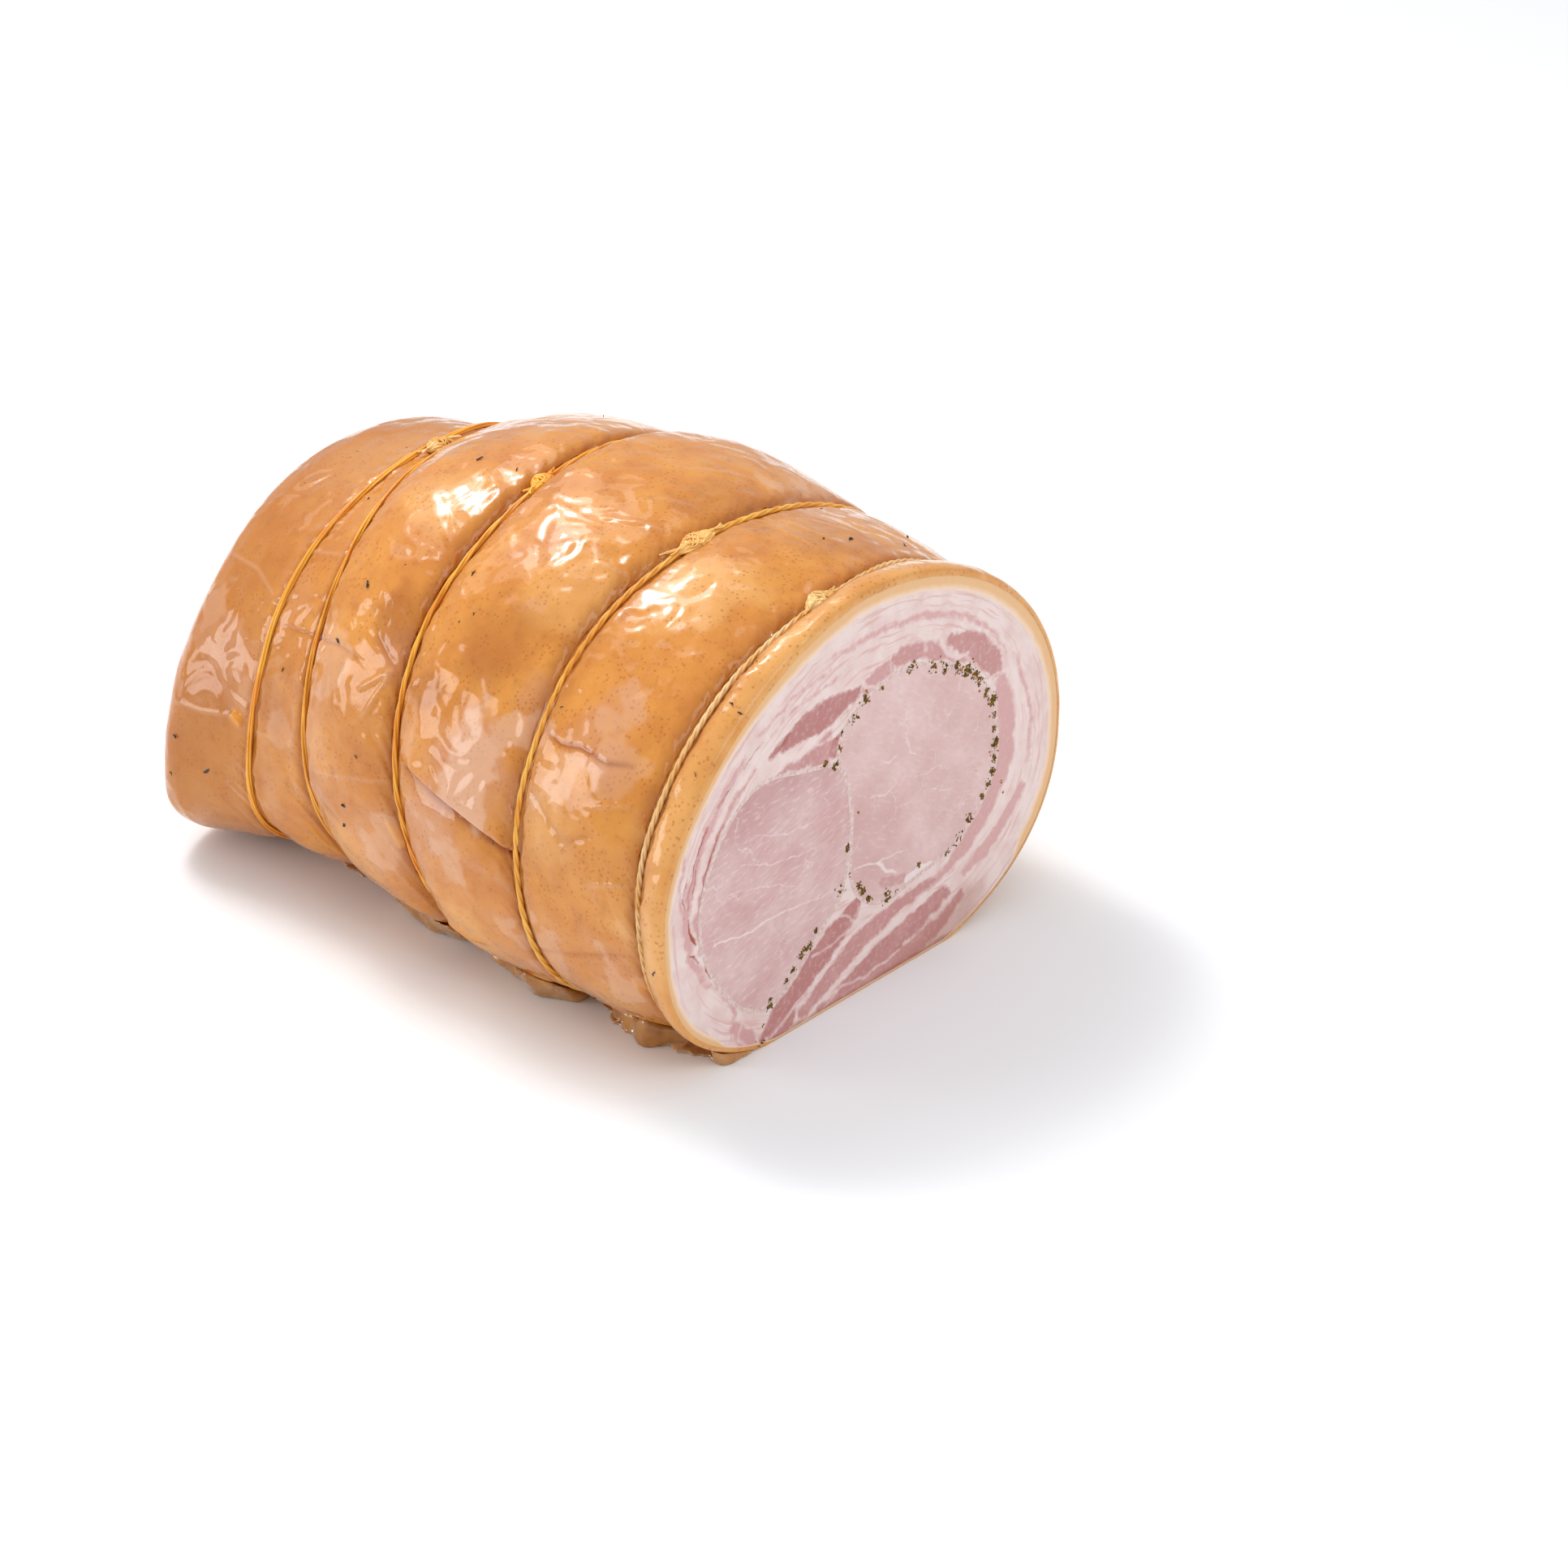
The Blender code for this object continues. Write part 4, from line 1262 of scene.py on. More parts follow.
LOWER_STRANDS = (
    ((-76, 45.5, 0.4), (-68, 44.8, 0.3), (-58, 43.6, 0.35), (-45, 43.9, 0.2), (-30, 42, 0.2),
         (-19, 41.5, 0.1)),
    ((-60, 76, 0.1), (-46, 71, 0.2), (-32, 69, 0.1)),
    ((-70, 60, 0.1), (-55, 57, 0.2), (-40, 51, 0.15)),
    ((-64, 68, 0.1), (-48, 62, 0.2), (-30, 60, 0.1)),
)
EYE_DARK = ((1, 35, 1.6), (6, 33.5, 2.2), (11, 32.5, 1.6))


@dataclass
class CutSurface:
    """The meat as it shows across the roll at one end: belly, two muscles and the herb layer between them."""

    form: RollForm
    end: End
    step: float = 0.45 * MM
    seam_width: float = 1.5 * MM
    rind_depth: float = 5.2 * MM
    thin_rind: float = 0.9 * MM
    half_lip: float = 0.42 * MM
    back_scale: float = 0.72
    front_middle: tuple[float, float] = (0.0, 60 * MM)
    back_middle: tuple[float, float] = (-2 * MM, 46 * MM)
    corner_points: int = 220
    loin_points: int = 160
    grain: Grain = field(default_factory=lambda: Grain(23))

    def __post_init__(self) -> None:
        """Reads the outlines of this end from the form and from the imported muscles."""
        back = 0.0 if self.end is End.CUT else self.form.last
        angles = np.arange(self.corner_points) * TAU / self.corner_points
        self.rim = self.form.skin(np.array([back]), angles)[0]
        self.skin = Outline(self.rim[:, 1:])
        self.loins = {node: Outline(self.loin_outline(node)) for node in ("loin_eye", "loin_lower")}

    def to_face(self, places: Points) -> Points:
        """Finds where the layer at these places shows on the cut face.

        Args:
            places: Flat places on this end.

        Returns:
            Flat places on the cut face.
        """
        if self.end is End.CUT:
            return places
        middle = self.form.middle[1]
        front, back = (np.array(pair) + (middle, 0) for pair in (self.front_middle, self.back_middle))
        return front + (places - back) / self.back_scale

    def loin_outline(self, node: str) -> Points:
        """Reads a muscle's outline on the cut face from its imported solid, and rounds its corners.

        Args:
            node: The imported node.

        Returns:
            Flat corners, evenly spaced.
        """
        points = vertex_rows(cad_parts[node].data)
        on_face = points[points[:, 0] > points[:, 0].max() - 0.02 * MM][:, 1:]
        on_face = np.unique(np.round(on_face, 7), axis=0)
        way = on_face - on_face.mean(axis=0)
        outline = on_face[np.argsort(np.arctan2(way[:, 1], way[:, 0]))]
        spectrum = np.fft.fft(outline[:, 0] + 1j * outline[:, 1])
        wave = np.fft.fftfreq(len(outline), 1 / len(outline))
        turns = np.arange(self.loin_points) / self.loin_points * TAU
        curve = (spectrum * np.exp(1j * turns[:, None] * wave)).sum(axis=1) / len(outline)
        return np.stack([curve.real, curve.imag], axis=-1)

    def plane_x(self, places: Points) -> Points:
        """The X of the surface before its relief: flat at the cut and domed at the natural end.

        Args:
            places: N flat places.

        Returns:
            N distances.
        """
        if self.end is End.CUT:
            return np.full(len(places), self.form.face)
        centre = self.rim.mean(axis=0)
        way, rim_way = places - centre[1:], self.rim[:, 1:] - centre[1:]
        turn, rim_turn = (np.arctan2(rows[:, 1], rows[:, 0]) for rows in (way, rim_way))
        order = np.argsort(rim_turn)
        far, rim_x = (np.interp(turn, rim_turn[order], values[order], period=TAU)
                      for values in (np.hypot(*rim_way.T), self.rim[:, 0]))
        share = np.clip(np.hypot(*way.T) / far, 0, 1)
        return centre[0] + (rim_x - centre[0]) * share - self.form.dome * (1 - share**2)

    def level(self, node: str, places: Points) -> Points:
        """How far inside one piece of the surface each place lies.

        Args:
            node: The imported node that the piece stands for.
            places: N flat places.

        Returns:
            N levels, negative outside.
        """
        shown = self.to_face(places)
        if node in self.loins:
            return self.loins[node].depth(shown)
        core = np.maximum(*(loin.depth(shown) for loin in self.loins.values()))
        if node == "herb_seam":
            return np.minimum(core + self.seam_width, -core)
        half_lip = self.half_lip if self.end is End.CUT else 0.0
        return np.minimum(-(core + self.seam_width), self.skin.depth(places) - half_lip)

    def region(self, node: str, slot: Slot, material: Material, grid: Points) -> None:
        """Builds one piece of the surface, with its edge on the line where its level is nought.

        Args:
            node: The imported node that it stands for.
            slot: The record's slot.
            material: Its finish.
            grid: Rows and columns of flat places.
        """
        rows, columns = grid.shape[:2]
        keep = self.level(node, grid.reshape(-1, 2)).reshape(rows, columns) > 0
        cells = keep[:-1, :-1] | keep[1:, :-1] | keep[:-1, 1:] | keep[1:, 1:]
        i, j = np.nonzero(cells)
        first = i * columns + j
        faces = np.stack([first, first + 1, first + columns + 1, first + columns], axis=-1)
        used, faces = np.unique(faces, return_inverse=True)
        faces = faces.reshape(-1, 4)
        places = grid.reshape(-1, 2)[used].copy()
        outside = ~keep.reshape(-1)[used]
        probe = 0.05 * MM
        for _ in range(3):
            here = places[outside]
            value = self.level(node, here)
            rises = [self.level(node, here + way) - value for way in ((probe, 0), (0, probe))]
            slope = np.stack(rises, axis=-1) / probe
            steep = np.maximum((slope**2).sum(axis=1), 0.05)
            places[outside] = here - slope * (value / steep)[:, None]
        attributes, relief = self.paint(node, places)
        shared = -0.15 * MM * smooth_step(self.skin.depth(places), 0, 0.8 * MM)
        relief = shared + (relief - shared) * smooth_step(self.level(node, places), 0, 0.7 * MM)
        if self.end is End.NATURAL:
            relief, faces = -relief, faces[:, ::-1]
        x, height = self.plane_x(places) + relief, np.maximum(places[:, 1], FLOOR_GAP)
        points = np.stack([x, places[:, 0], height], axis=-1)
        settle(mesh_piece(f"{node}_{self.end.value}_end", points, faces, material, attributes), slot, node)

    def paint(self, node: str, places: Points) -> tuple[dict[str, Points], Points]:
        """Works out the masks and the relief of a piece of the surface.

        Args:
            node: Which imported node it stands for.
            places: Flat places on this end.

        Returns:
            The masks by name, and how far each place stands out, which is never above nought.
        """
        shown = self.to_face(places)
        rough = np.concatenate([shown, 0 * shown[:, :1]], axis=1)
        drift = np.stack([self.grain.at(rough + offset, 4.5 * MM, 2) for offset in (0.0, 0.2)], axis=-1)
        marks = shown + 0.85 * MM * drift
        fine = self.grain.at(rough, 1.6 * MM, 2)
        if node == "herb_seam":
            return {}, (-0.2 + 0.07 * fine) * MM
        if node == "loin_eye":
            strand = line_depth(marks, *EYE_STRANDS)
            core = smooth_step(np.hypot(*(shown - (-6 * MM, 52 * MM)).T), 8 * MM, 26 * MM)
            dark = smooth_step(line_depth(marks, EYE_DARK), -0.4 * MM, 0.5 * MM)
            tone = np.maximum(0.75 * dark, 0.35 * (1 - core))
        elif node == "loin_lower":
            strand = line_depth(marks, *LOWER_STRANDS)
            tone = 0.6 * smooth_step(shown[:, 1] - 0.15 * shown[:, 0], 72 * MM, 100 * MM)
        else:
            return self.paint_belly(places, shown, marks, drift, fine)
        relief = (-0.2 + 0.07 * fine + 0.12 * smooth_step(strand, -0.3 * MM, 0.3 * MM)) * MM
        return {"tone": tone, "strand": strand}, relief

    def paint_belly(self, places: Points, shown: Points, marks: Points, drift: Points,
                    fine: Points) -> tuple[dict[str, Points], Points]:
        """Works out the masks and the relief of the belly.

        Args:
            places: Flat places on this end.
            shown: Where their layers show on the cut face.
            marks: Those places, a little astray.
            drift: How far astray, from -1 to 1 each way.
            fine: Fine grain at each place.

        Returns:
            The masks by name, and how far each place stands out.
        """
        depth = self.skin.depth(places)
        across, up = shown.T
        lean, tone = np.full(len(places), -1.0), np.zeros(len(places))
        for shade, line in LEAN_LINES:
            inside = line_depth(marks, line)
            tone = np.where(inside > lean, shade, tone)
            lean = np.maximum(lean, inside)
        strand, slit = line_depth(marks, *STRAND_LINES), line_depth(marks, *SLIT_LINES)
        turn = np.arctan2(places[:, 1] - 60 * MM, places[:, 0])
        layer = np.stack([turn * 80 * MM, depth + 0.6 * MM * drift[:, 0], 0 * turn], axis=-1)
        bottom = 1 - smooth_step(up + 0.6 * MM * drift[:, 1], 0.4 * MM, 3.0 * MM)
        # Painted shadow: the lower right of the cut face turns browner, laid into the brown mask.
        shade = 0.45 * smooth_step(across - 2.2 * (up - 8 * MM), 5 * MM, 40 * MM)
        shade = shade * (1 - smooth_step(up, 12 * MM, 24 * MM)) * (1 - smooth_step(across, 40 * MM, 60 * MM))
        under = smooth_step(across, -80 * MM, -70 * MM) * (1 - smooth_step(up, 14 * MM, 26 * MM))
        under = under * (1 - smooth_step(across, 66 * MM, 76 * MM))
        if self.end is End.CUT:
            brown = np.clip(0.75 * bottom * under + shade, 0, 0.8)
            thin = np.maximum(under, 0.5 * smooth_step(-across, 30 * MM, 76 * MM))
        else:
            brown = 0.62 - 0.34 * smooth_step(depth, 3 * MM, 24 * MM) + 0.05 * drift[:, 0]
            thin = 0 * under
        rind = depth / (self.rind_depth + (self.thin_rind - self.rind_depth) * thin)
        relief = (-0.1 - 0.12 * smooth_step(lean, -0.5 * MM, 0.5 * MM) + 0.05 * fine
                  - 0.8 * smooth_step(slit, -0.3 * MM, 0.4 * MM)) * MM
        relief = relief * smooth_step(depth, 0, 0.8 * MM)
        return {"skin": rind, "lean": lean, "tone": tone, "strand": strand, "slit": slit, "layer": layer,
                "brown": brown}, np.minimum(relief, 0)

    def build(self, finishes: dict[str, Material]) -> None:
        """Builds the four pieces of this end.

        Args:
            finishes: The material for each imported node.
        """
        outer = self.rim[:, 1:]
        low, high = outer.min(axis=0) - self.step, outer.max(axis=0) + self.step
        grid = np.stack(np.meshgrid(*(np.arange(a, b, self.step) for a, b in zip(low, high))), axis=-1)
        slots = {"loin_eye": Slot.LEAN, "loin_lower": Slot.LEAN, "herb_seam": Slot.HERBS,
                 "belly_wrap": Slot.RIND}
        for node, slot in slots.items():
            self.region(node, slot, finishes[node], grid)


class Form(Enum):
    """What a scattered scrap looks like."""

    LEAF = (1.0, 0.42, 0.22)
    CRUMB = (1.0, 0.8, 0.7)
    NEEDLE = (1.0, 0.22, 0.18)


def new_tree(name: str, result: str, **inputs: str) -> tuple[Tree, dict[str, Socket]]:
    """Starts a geometry tree.

    Args:
        name: Its name.
        result: The name of its one output.
        inputs: The kind of each input, such as "Float", by its name with underscores for spaces.

    Returns:
        The tree, and the sockets that give its inputs, by name.
    """
    tree = bpy.data.node_groups.new(name, "GeometryNodeTree")
    for key, kind in inputs.items():
        tree.interface.new_socket(key.replace("_", " "), in_out="INPUT", socket_type=f"NodeSocket{kind}")
    tree.interface.new_socket(result, in_out="OUTPUT", socket_type="NodeSocketGeometry")
    given = add_node(tree, "NodeGroupInput").outputs
    return tree, {key: given[key.replace("_", " ")] for key in inputs}


def finish_tree(tree: Tree, result: str, shapes: Socket, material: Material | Socket) -> Tree:
    """Gives a tree's result its finish and passes it out.

    Args:
        tree: The tree.
        result: The name of its output.
        shapes: What it has made.
        material: The finish.

    Returns:
        The tree.
    """
    look = {"Geometry": shapes, "Material": material}
    dressed = add_node(tree, "GeometryNodeSetMaterial", look, "Geometry")
    add_node(tree, "NodeGroupOutput", {result: dressed})
    return tree


def grow(host: Object, tree: Tree, values: dict[str, object]) -> Object:
    """Runs a geometry tree on an object and keeps its result as the object's own plain mesh.

    Args:
        host: The object, whose mesh the tree reads.
        tree: The geometry tree.
        values: The tree's inputs by name.

    Returns:
        The host, with its new mesh.
    """
    modifier = host.modifiers.new(tree.name, "NODES")
    modifier.node_group = tree
    sockets = {item.name: item.identifier for item in tree.interface.items_tree if item.in_out == "INPUT"}
    for key, value in values.items():
        modifier[sockets[key]] = value
    set_plain(host)
    return host


@dataclass
class Scatter:
    """Small scraps on a surface, each turned its own way."""

    form: Form
    size: float
    seed: int
    tilt: float = 0.25
    roughness: float = 0.5
    lump_scale: float = 900.0

    def tree(self, material: Material) -> Tree:
        """Builds the tree that puts one scrap on each point, lying along the surface.

        Args:
            material: The scraps' finish.

        Returns:
            The tree, whose inputs are the scraps' size and seed.
        """
        tree, given = new_tree(f"scatter_{self.form.name.lower()}", "Scraps", Points="Geometry",
                               Scrap_Size="Float", Seed="Int")
        ball = add_node(tree, "GeometryNodeMeshIcoSphere", {"Radius": 0.5, "Subdivisions": 2}, "Mesh")
        scaled = {"Geometry": ball, "Scale": self.form.value}
        shape = add_node(tree, "GeometryNodeTransform", scaled, "Geometry")
        out, share = (
            add_node(tree, "GeometryNodeInputNamedAttribute", {"Name": name}, "Attribute", data_type=kind)
            for name, kind in (("out", "FLOAT_VECTOR"), ("share", "FLOAT")))
        limits = {"Seed": given["Seed"], "Min": (-self.tilt, -self.tilt, 0.0),
                  "Max": (self.tilt, self.tilt, TAU)}
        spin = add_node(tree, "FunctionNodeRandomValue", limits, "Value", data_type="FLOAT_VECTOR")
        upright = add_node(tree, "FunctionNodeAlignRotationToVector", {"Vector": out}, "Rotation", axis="Z")
        both = {"Rotation": upright, "Rotate By": spin}
        turned = add_node(tree, "FunctionNodeRotateRotation", both, "Rotation", rotation_space="LOCAL")
        scale = add_node(tree, MATH, {0: given["Scrap_Size"], 1: share}, 0, operation="MULTIPLY")
        scraps = {"Points": given["Points"], "Instance": shape, "Rotation": turned, "Scale": scale}
        placed = add_node(tree, "GeometryNodeInstanceOnPoints", scraps, "Instances")
        real = add_node(tree, "GeometryNodeRealizeInstances", {"Geometry": placed}, "Geometry")
        noise = add_node(tree, NOISE, {"Scale": self.lump_scale, "Detail": 0.0}, "Color")
        centred = add_node(tree, VECTORS, {0: noise, 1: (0.5, 0.5, 0.5)}, "Vector", operation="SUBTRACT")
        pushed = add_node(tree, VECTORS, {0: centred, "Scale": self.roughness * self.size}, "Vector",
                          operation="SCALE")
        rough = add_node(tree, "GeometryNodeSetPosition", {"Geometry": real, "Offset": pushed}, "Geometry")
        return finish_tree(tree, "Scraps", rough, material)

    def build(self, name: str, points: Points, out: Points, share: Points, material: Material) -> None:
        """Builds one piece of scraps, from their places, normals and shares of the full size."""
        host = mesh_piece(name, points, [], material, {"out": out, "share": share})
        settle(grow(host, self.tree(material), {"Scrap Size": self.size, "Seed": self.seed}), Slot.HERBS)


@dataclass(frozen=True)
class Seat:
    """Where a knot sits, the ways across the twine, along it and out of the roll, and its half sizes."""

    middle: Points
    across: Points
    along: Points
    out: Points
    wide: float
    long: float
    thick: float

    def at(self, across: Points, along: Points, out: Points) -> Points:
        """The points that lie this far across the twine, along it and out of the roll."""
        return (self.middle + np.multiply.outer(across, self.across) + np.multiply.outer(along, self.along)
                + np.multiply.outer(out, self.out))


@dataclass
class Twine:
    """The turns of twine and their knots."""

    form: RollForm
    radius: float = 1.35 * MM
    clearance: float = 0.5 * MM
    sunk: float = 1.0 * MM
    path_points: int = 480
    strand_sides: int = 8
    strand_radius: float = 0.34 * MM
    stray: float = 0.35 * MM

    def tree(self, plies: int) -> Tree:
        """Builds the tree that lays this many strands round a path.

        Args:
            plies: How many strands.

        Returns:
            The tree, whose inputs are the strands' radius, their distance from the path, turns and finish.
        """
        tree, given = new_tree(f"laid_twine_{plies}", "Twine", Path="Geometry", Strand_Radius="Float",
                               Lay_Radius="Float", Turns="Float", Finish="Material")
        curve = add_node(tree, "GeometryNodeMeshToCurve", {"Mesh": given["Path"]}, "Curve")
        profile = add_node(tree, "GeometryNodeCurvePrimitiveCircle",
                           {"Resolution": self.strand_sides, "Radius": given["Strand_Radius"]}, "Curve")
        place = add_node(tree, "GeometryNodeSplineParameter").outputs
        stored = ((profile, "around", "Factor"), (curve, "along", "Length"))
        around, along = (add_node(
            tree, "GeometryNodeStoreNamedAttribute", {"Geometry": line, "Name": name, "Value": place[key]},
            "Geometry", data_type="FLOAT", domain="POINT") for line, name, key in stored)
        normal = add_node(tree, "GeometryNodeInputNormal", out="Normal")
        tangent = add_node(tree, "GeometryNodeInputTangent", out="Tangent")
        side = add_node(tree, VECTORS, {0: normal, 1: tangent}, "Vector", operation="CROSS_PRODUCT")
        joined = add_node(tree, "GeometryNodeJoinGeometry")
        turn = add_node(tree, MATH, {0: place["Factor"], 1: given["Turns"]}, 0, operation="MULTIPLY")
        for k in range(plies):
            phase = add_node(tree, MATH, {0: turn, 1: k / plies}, 0, operation="ADD")
            angle = add_node(tree, MATH, {0: phase, 1: TAU}, 0, operation="MULTIPLY")
            parts = []
            for kind, direction in (("COSINE", normal), ("SINE", side)):
                wave = add_node(tree, MATH, {0: angle}, 0, operation=kind)
                reach = add_node(tree, MATH, {0: wave, 1: given["Lay_Radius"]}, 0, operation="MULTIPLY")
                part = {0: direction, "Scale": reach}
                parts.append(add_node(tree, VECTORS, part, "Vector", operation="SCALE"))
            offset = add_node(tree, VECTORS, {0: parts[0], 1: parts[1]}, "Vector", operation="ADD")
            shifted = {"Geometry": along, "Offset": offset}
            moved = add_node(tree, "GeometryNodeSetPosition", shifted, "Geometry")
            tube = add_node(tree, "GeometryNodeCurveToMesh",
                            {"Curve": moved, "Profile Curve": around, "Fill Caps": True}, "Mesh")
            feed(joined, {"Geometry": tube})
        tubes = joined.outputs["Geometry"]
        smooth = add_node(tree, "GeometryNodeSetShadeSmooth", {"Geometry": tubes}, "Geometry")
        real = add_node(tree, "GeometryNodeRealizeInstances", {"Geometry": smooth}, "Geometry")
        return finish_tree(tree, "Twine", real, given["Finish"])

    def strand(self, name: str, paths: list[Points], plies: int, finish: Material, radius: float,
               lay: float = 0.0, turns: float = 0.0) -> Object:
        """Lays twine along some paths.

        Args:
            name: The object's name.
            paths: Points along each path, which joins up if it is the only one.
            plies: How many strands it has.
            finish: Its material.
            radius: The radius of a strand.
            lay: How far each strand's middle is from the path.
            turns: How often the strands wind round it.

        Returns:
            The object.
        """
        edges, start = [], 0
        for path in paths:
            numbers = np.arange(start, start + len(path))
            after = np.roll(numbers, -1) if len(paths) == 1 else numbers[1:]
            edges += list(zip(numbers[:len(after)].tolist(), after.tolist()))
            start += len(path)
        mesh = bpy.data.meshes.new(name)
        mesh.from_pydata(np.concatenate(paths), edges, [])
        tree = bpy.data.node_groups.get(f"laid_twine_{plies}") or self.tree(plies)
        return grow(add_object(name, mesh), tree,
                    {"Strand Radius": radius, "Lay Radius": lay, "Turns": turns, "Finish": finish})

    def path(self, tie: Tie, angles: Points) -> tuple[Points, Points]:
        """Finds the middle of the twine.

        Args:
            tie: The turn of twine.
            angles: Angles round the roll.

        Returns:
            Its points at these angles, and the way out of the roll at each.
        """
        back = np.array([tie.back])
        near = self.form.skin(back, angles + 0.01)[0] - self.form.skin(back, angles - 0.01)[0]
        near = near / np.hypot(near[:, 1], near[:, 2])[:, None]
        out = np.stack([0 * near[:, 0], near[:, 2], -near[:, 1]], axis=-1)
        return self.form.skin(back, angles)[0] + out * (self.radius + self.clearance - self.sunk), out

    def wandering(self, tie: Tie, seed: int) -> Points:
        """Finds the tie's path with a hand-tied cord's small unevenness.

        Args:
            tie: The turn of twine.
            seed: Which unevenness it has.

        Returns:
            Points all the way round.
        """
        angles = np.arange(self.path_points) * TAU / self.path_points
        middle, out = self.path(tie, angles)
        wobble = np.stack([np.cos(angles), np.sin(angles), np.full_like(angles, seed)], axis=-1) * 60 * MM
        aside = self.stray * Grain(seed).at(wobble, 14 * MM, 2)[:, None]
        return middle + aside * (1, 0, 0) + 0.12 / 0.35 * aside * out

    def seat(self, size: Sizes, tie: Tie, other: Tie | None = None) -> Seat:
        """Works out where a knot sits, on one turn or between two.

        Args:
            size: The knot's half length, half width and half thickness in mm.
            tie: The turn that it is on.
            other: The second turn that it holds, if there is one.

        Returns:
            The knot's seat.
        """
        near = tie.knot_angle + np.array([-0.02, 0.0, 0.02])
        path, out = self.path(tie, near)
        middle, up = path[1], out[1]
        tangent = unit(path[0] - path[2])
        across = np.cross(up, tangent)
        if other:
            second = self.path(other, near)[0][1]
            across = unit(second - middle)
            middle = (middle + second) / 2
            up = unit(up - across * (up @ across))
        long, wide, thick = (MM * half for half in size)
        return Seat(middle, across, tangent, up, wide, long, thick)

    def knot(self, name: str, seat: Seat, finish: Material, seed: int) -> list[Object]:
        """A knot pressed flat: a ridged body, strands over it and frayed tails.

        Args:
            name: The piece's name.
            seat: Where it sits and how large it is.
            finish: Its material.
            seed: Which knot this is.

        Returns:
            Its objects.
        """
        rng = np.random.default_rng(seed)
        long, wide, thick = seat.long, seat.wide, seat.thick
        paths = []
        t = np.linspace(0, 1, 40)
        lens = np.sin(math.pi * np.clip(t, 0.02, 0.98))
        for k in range(5):
            turn = TAU * (0.9 * t + 0.2 * k) + rng.uniform(-0.4, 0.4)
            paths.append(seat.at(wide * 0.95 * np.cos(turn) * lens, long * (1.7 * t - 0.85),
                                 thick * (0.55 + 0.5 * np.abs(np.sin(turn))) * lens))
        t = np.linspace(0, 1, 30)
        sweep = math.pi * (1.15 * t - 0.075)
        for k in range(2):
            paths.append(seat.at(1.06 * wide * np.cos(sweep),
                                 long * (0.22 * k - 0.1) + 0.5 * wide * (t - 0.5),
                                 1.08 * thick * np.sin(sweep)))
        t = np.linspace(0, 1, 24)
        for k, heading in enumerate((1, -1, 1, -1, 1, -1)):
            aim = rng.uniform(-0.5, 0.5)
            reach = rng.uniform(0.5, 0.9) * long
            paths.append(seat.at(aim * reach * t**1.5 + 0.4 * MM * np.sin(5 * t + k),
                                 heading * (0.6 * long + reach * t), 0.8 * MM * (1 - t) + 0.5 * MM))
        return [self.knot_body(name, seat, finish, seed),
                self.strand(f"{name}_strands", paths, 1, finish, self.strand_radius)]

    @staticmethod
    def knot_body(name: str, seat: Seat, finish: Material, seed: int) -> Object:
        """The flat, ridged middle of a knot, pointed at both ends.

        Args:
            name: The knot's name.
            seat: Where it sits and how large it is.
            finish: Its material.
            seed: Which knot this is.

        Returns:
            The object.
        """
        rows, columns = 40, 48
        turns = np.arange(columns) * TAU / columns
        t, turn = np.meshgrid(np.linspace(0.015, 0.985, rows), turns, indexing="ij")
        lens = np.sin(math.pi * t) ** 0.7
        spots = np.stack([np.cos(turn), np.sin(turn), 4 * t], axis=-1)
        ridge = 0.86 + 0.2 * np.abs(np.sin(5.5 * turn + 7 * t)) + 0.3 * Grain(seed).at(spots, 0.6, 2)
        points = seat.at(seat.wide * lens * np.cos(turn) * ridge, seat.long * (2 * t - 1),
                         seat.thick * lens * np.sin(turn) * ridge)
        faces = grid_faces(rows, columns).tolist()
        faces += [list(range(columns)), list(range(rows * columns - 1, (rows - 1) * columns - 1, -1))]
        attributes = {"along": (seat.long * (2 * t - 1)).ravel(), "around": (turn / TAU).ravel()}
        return mesh_piece(f"{name}_body", points.reshape(-1, 3), faces, finish, attributes)

    def build(self) -> None:
        """Builds each tie with its knot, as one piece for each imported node."""
        natural, golden, soaked, bright, knotted = (SoakedTwine(*row).material() for row in (
            ("cotton_twine", "#f4cc8e", "#e6ae5a", "#b87a34"),
            ("golden_twine", "#fcc04e", "#eea02c", "#b8721c"),
            ("juice_soaked_twine", "#feb834", "#f29a18", "#b86e12"),
            ("golden_knot", "#f6c068", "#e8a244", "#b4762c"),
            ("knotted_twine", "#f0d090", "#e0a444", "#ac7230")))
        looks = ((natural, 44.0, knotted, (6.6, 4.0, 2.5)), (golden, 30.0, bright, (8.4, 3.6, 2.1)),
                 (soaked, 16.0, soaked, (5, 3.2, 2.1)))
        for i, (tie, (finish, turns, knot_finish, size)) in enumerate(zip(TIES, looks)):
            name = f"tie_{i + 1}"
            path = self.wandering(tie, i + 1)
            turn = self.strand(f"{name}_turn", [path], 3, finish, 0.5 * MM, 0.46 * MM, turns)
            self.join(name, turn, *self.knot(f"{name}_knot", self.seat(size, tie), knot_finish, 40 + i))
        pair = TIES[3:]
        first = self.strand("tie_4_turn", [self.wandering(pair[0], 4)], 3, soaked, 0.42 * MM, 0.5 * MM, 7.0)
        second = self.strand("tie_5_turn", [self.wandering(pair[1], 5)], 4, soaked, 0.42 * MM, 0.56 * MM, 4.0)
        seat = self.seat((5.8, 4.2, 2.3), pair[1], pair[0])
        self.join("tie_4", first, second, *self.knot("tie_4_knot", seat, knotted, 44))

    @staticmethod
    def join(node: str, turn: Object, *others: Object) -> None:
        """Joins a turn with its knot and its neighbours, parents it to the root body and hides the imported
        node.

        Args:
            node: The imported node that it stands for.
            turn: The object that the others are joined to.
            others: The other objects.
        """
        bpy.ops.object.select_all(action="DESELECT")
        for item in (turn, *others):
            item.select_set(True)
        bpy.context.view_layer.objects.active = turn
        bpy.ops.object.join()
        settle(turn, Slot.TWINE, node)


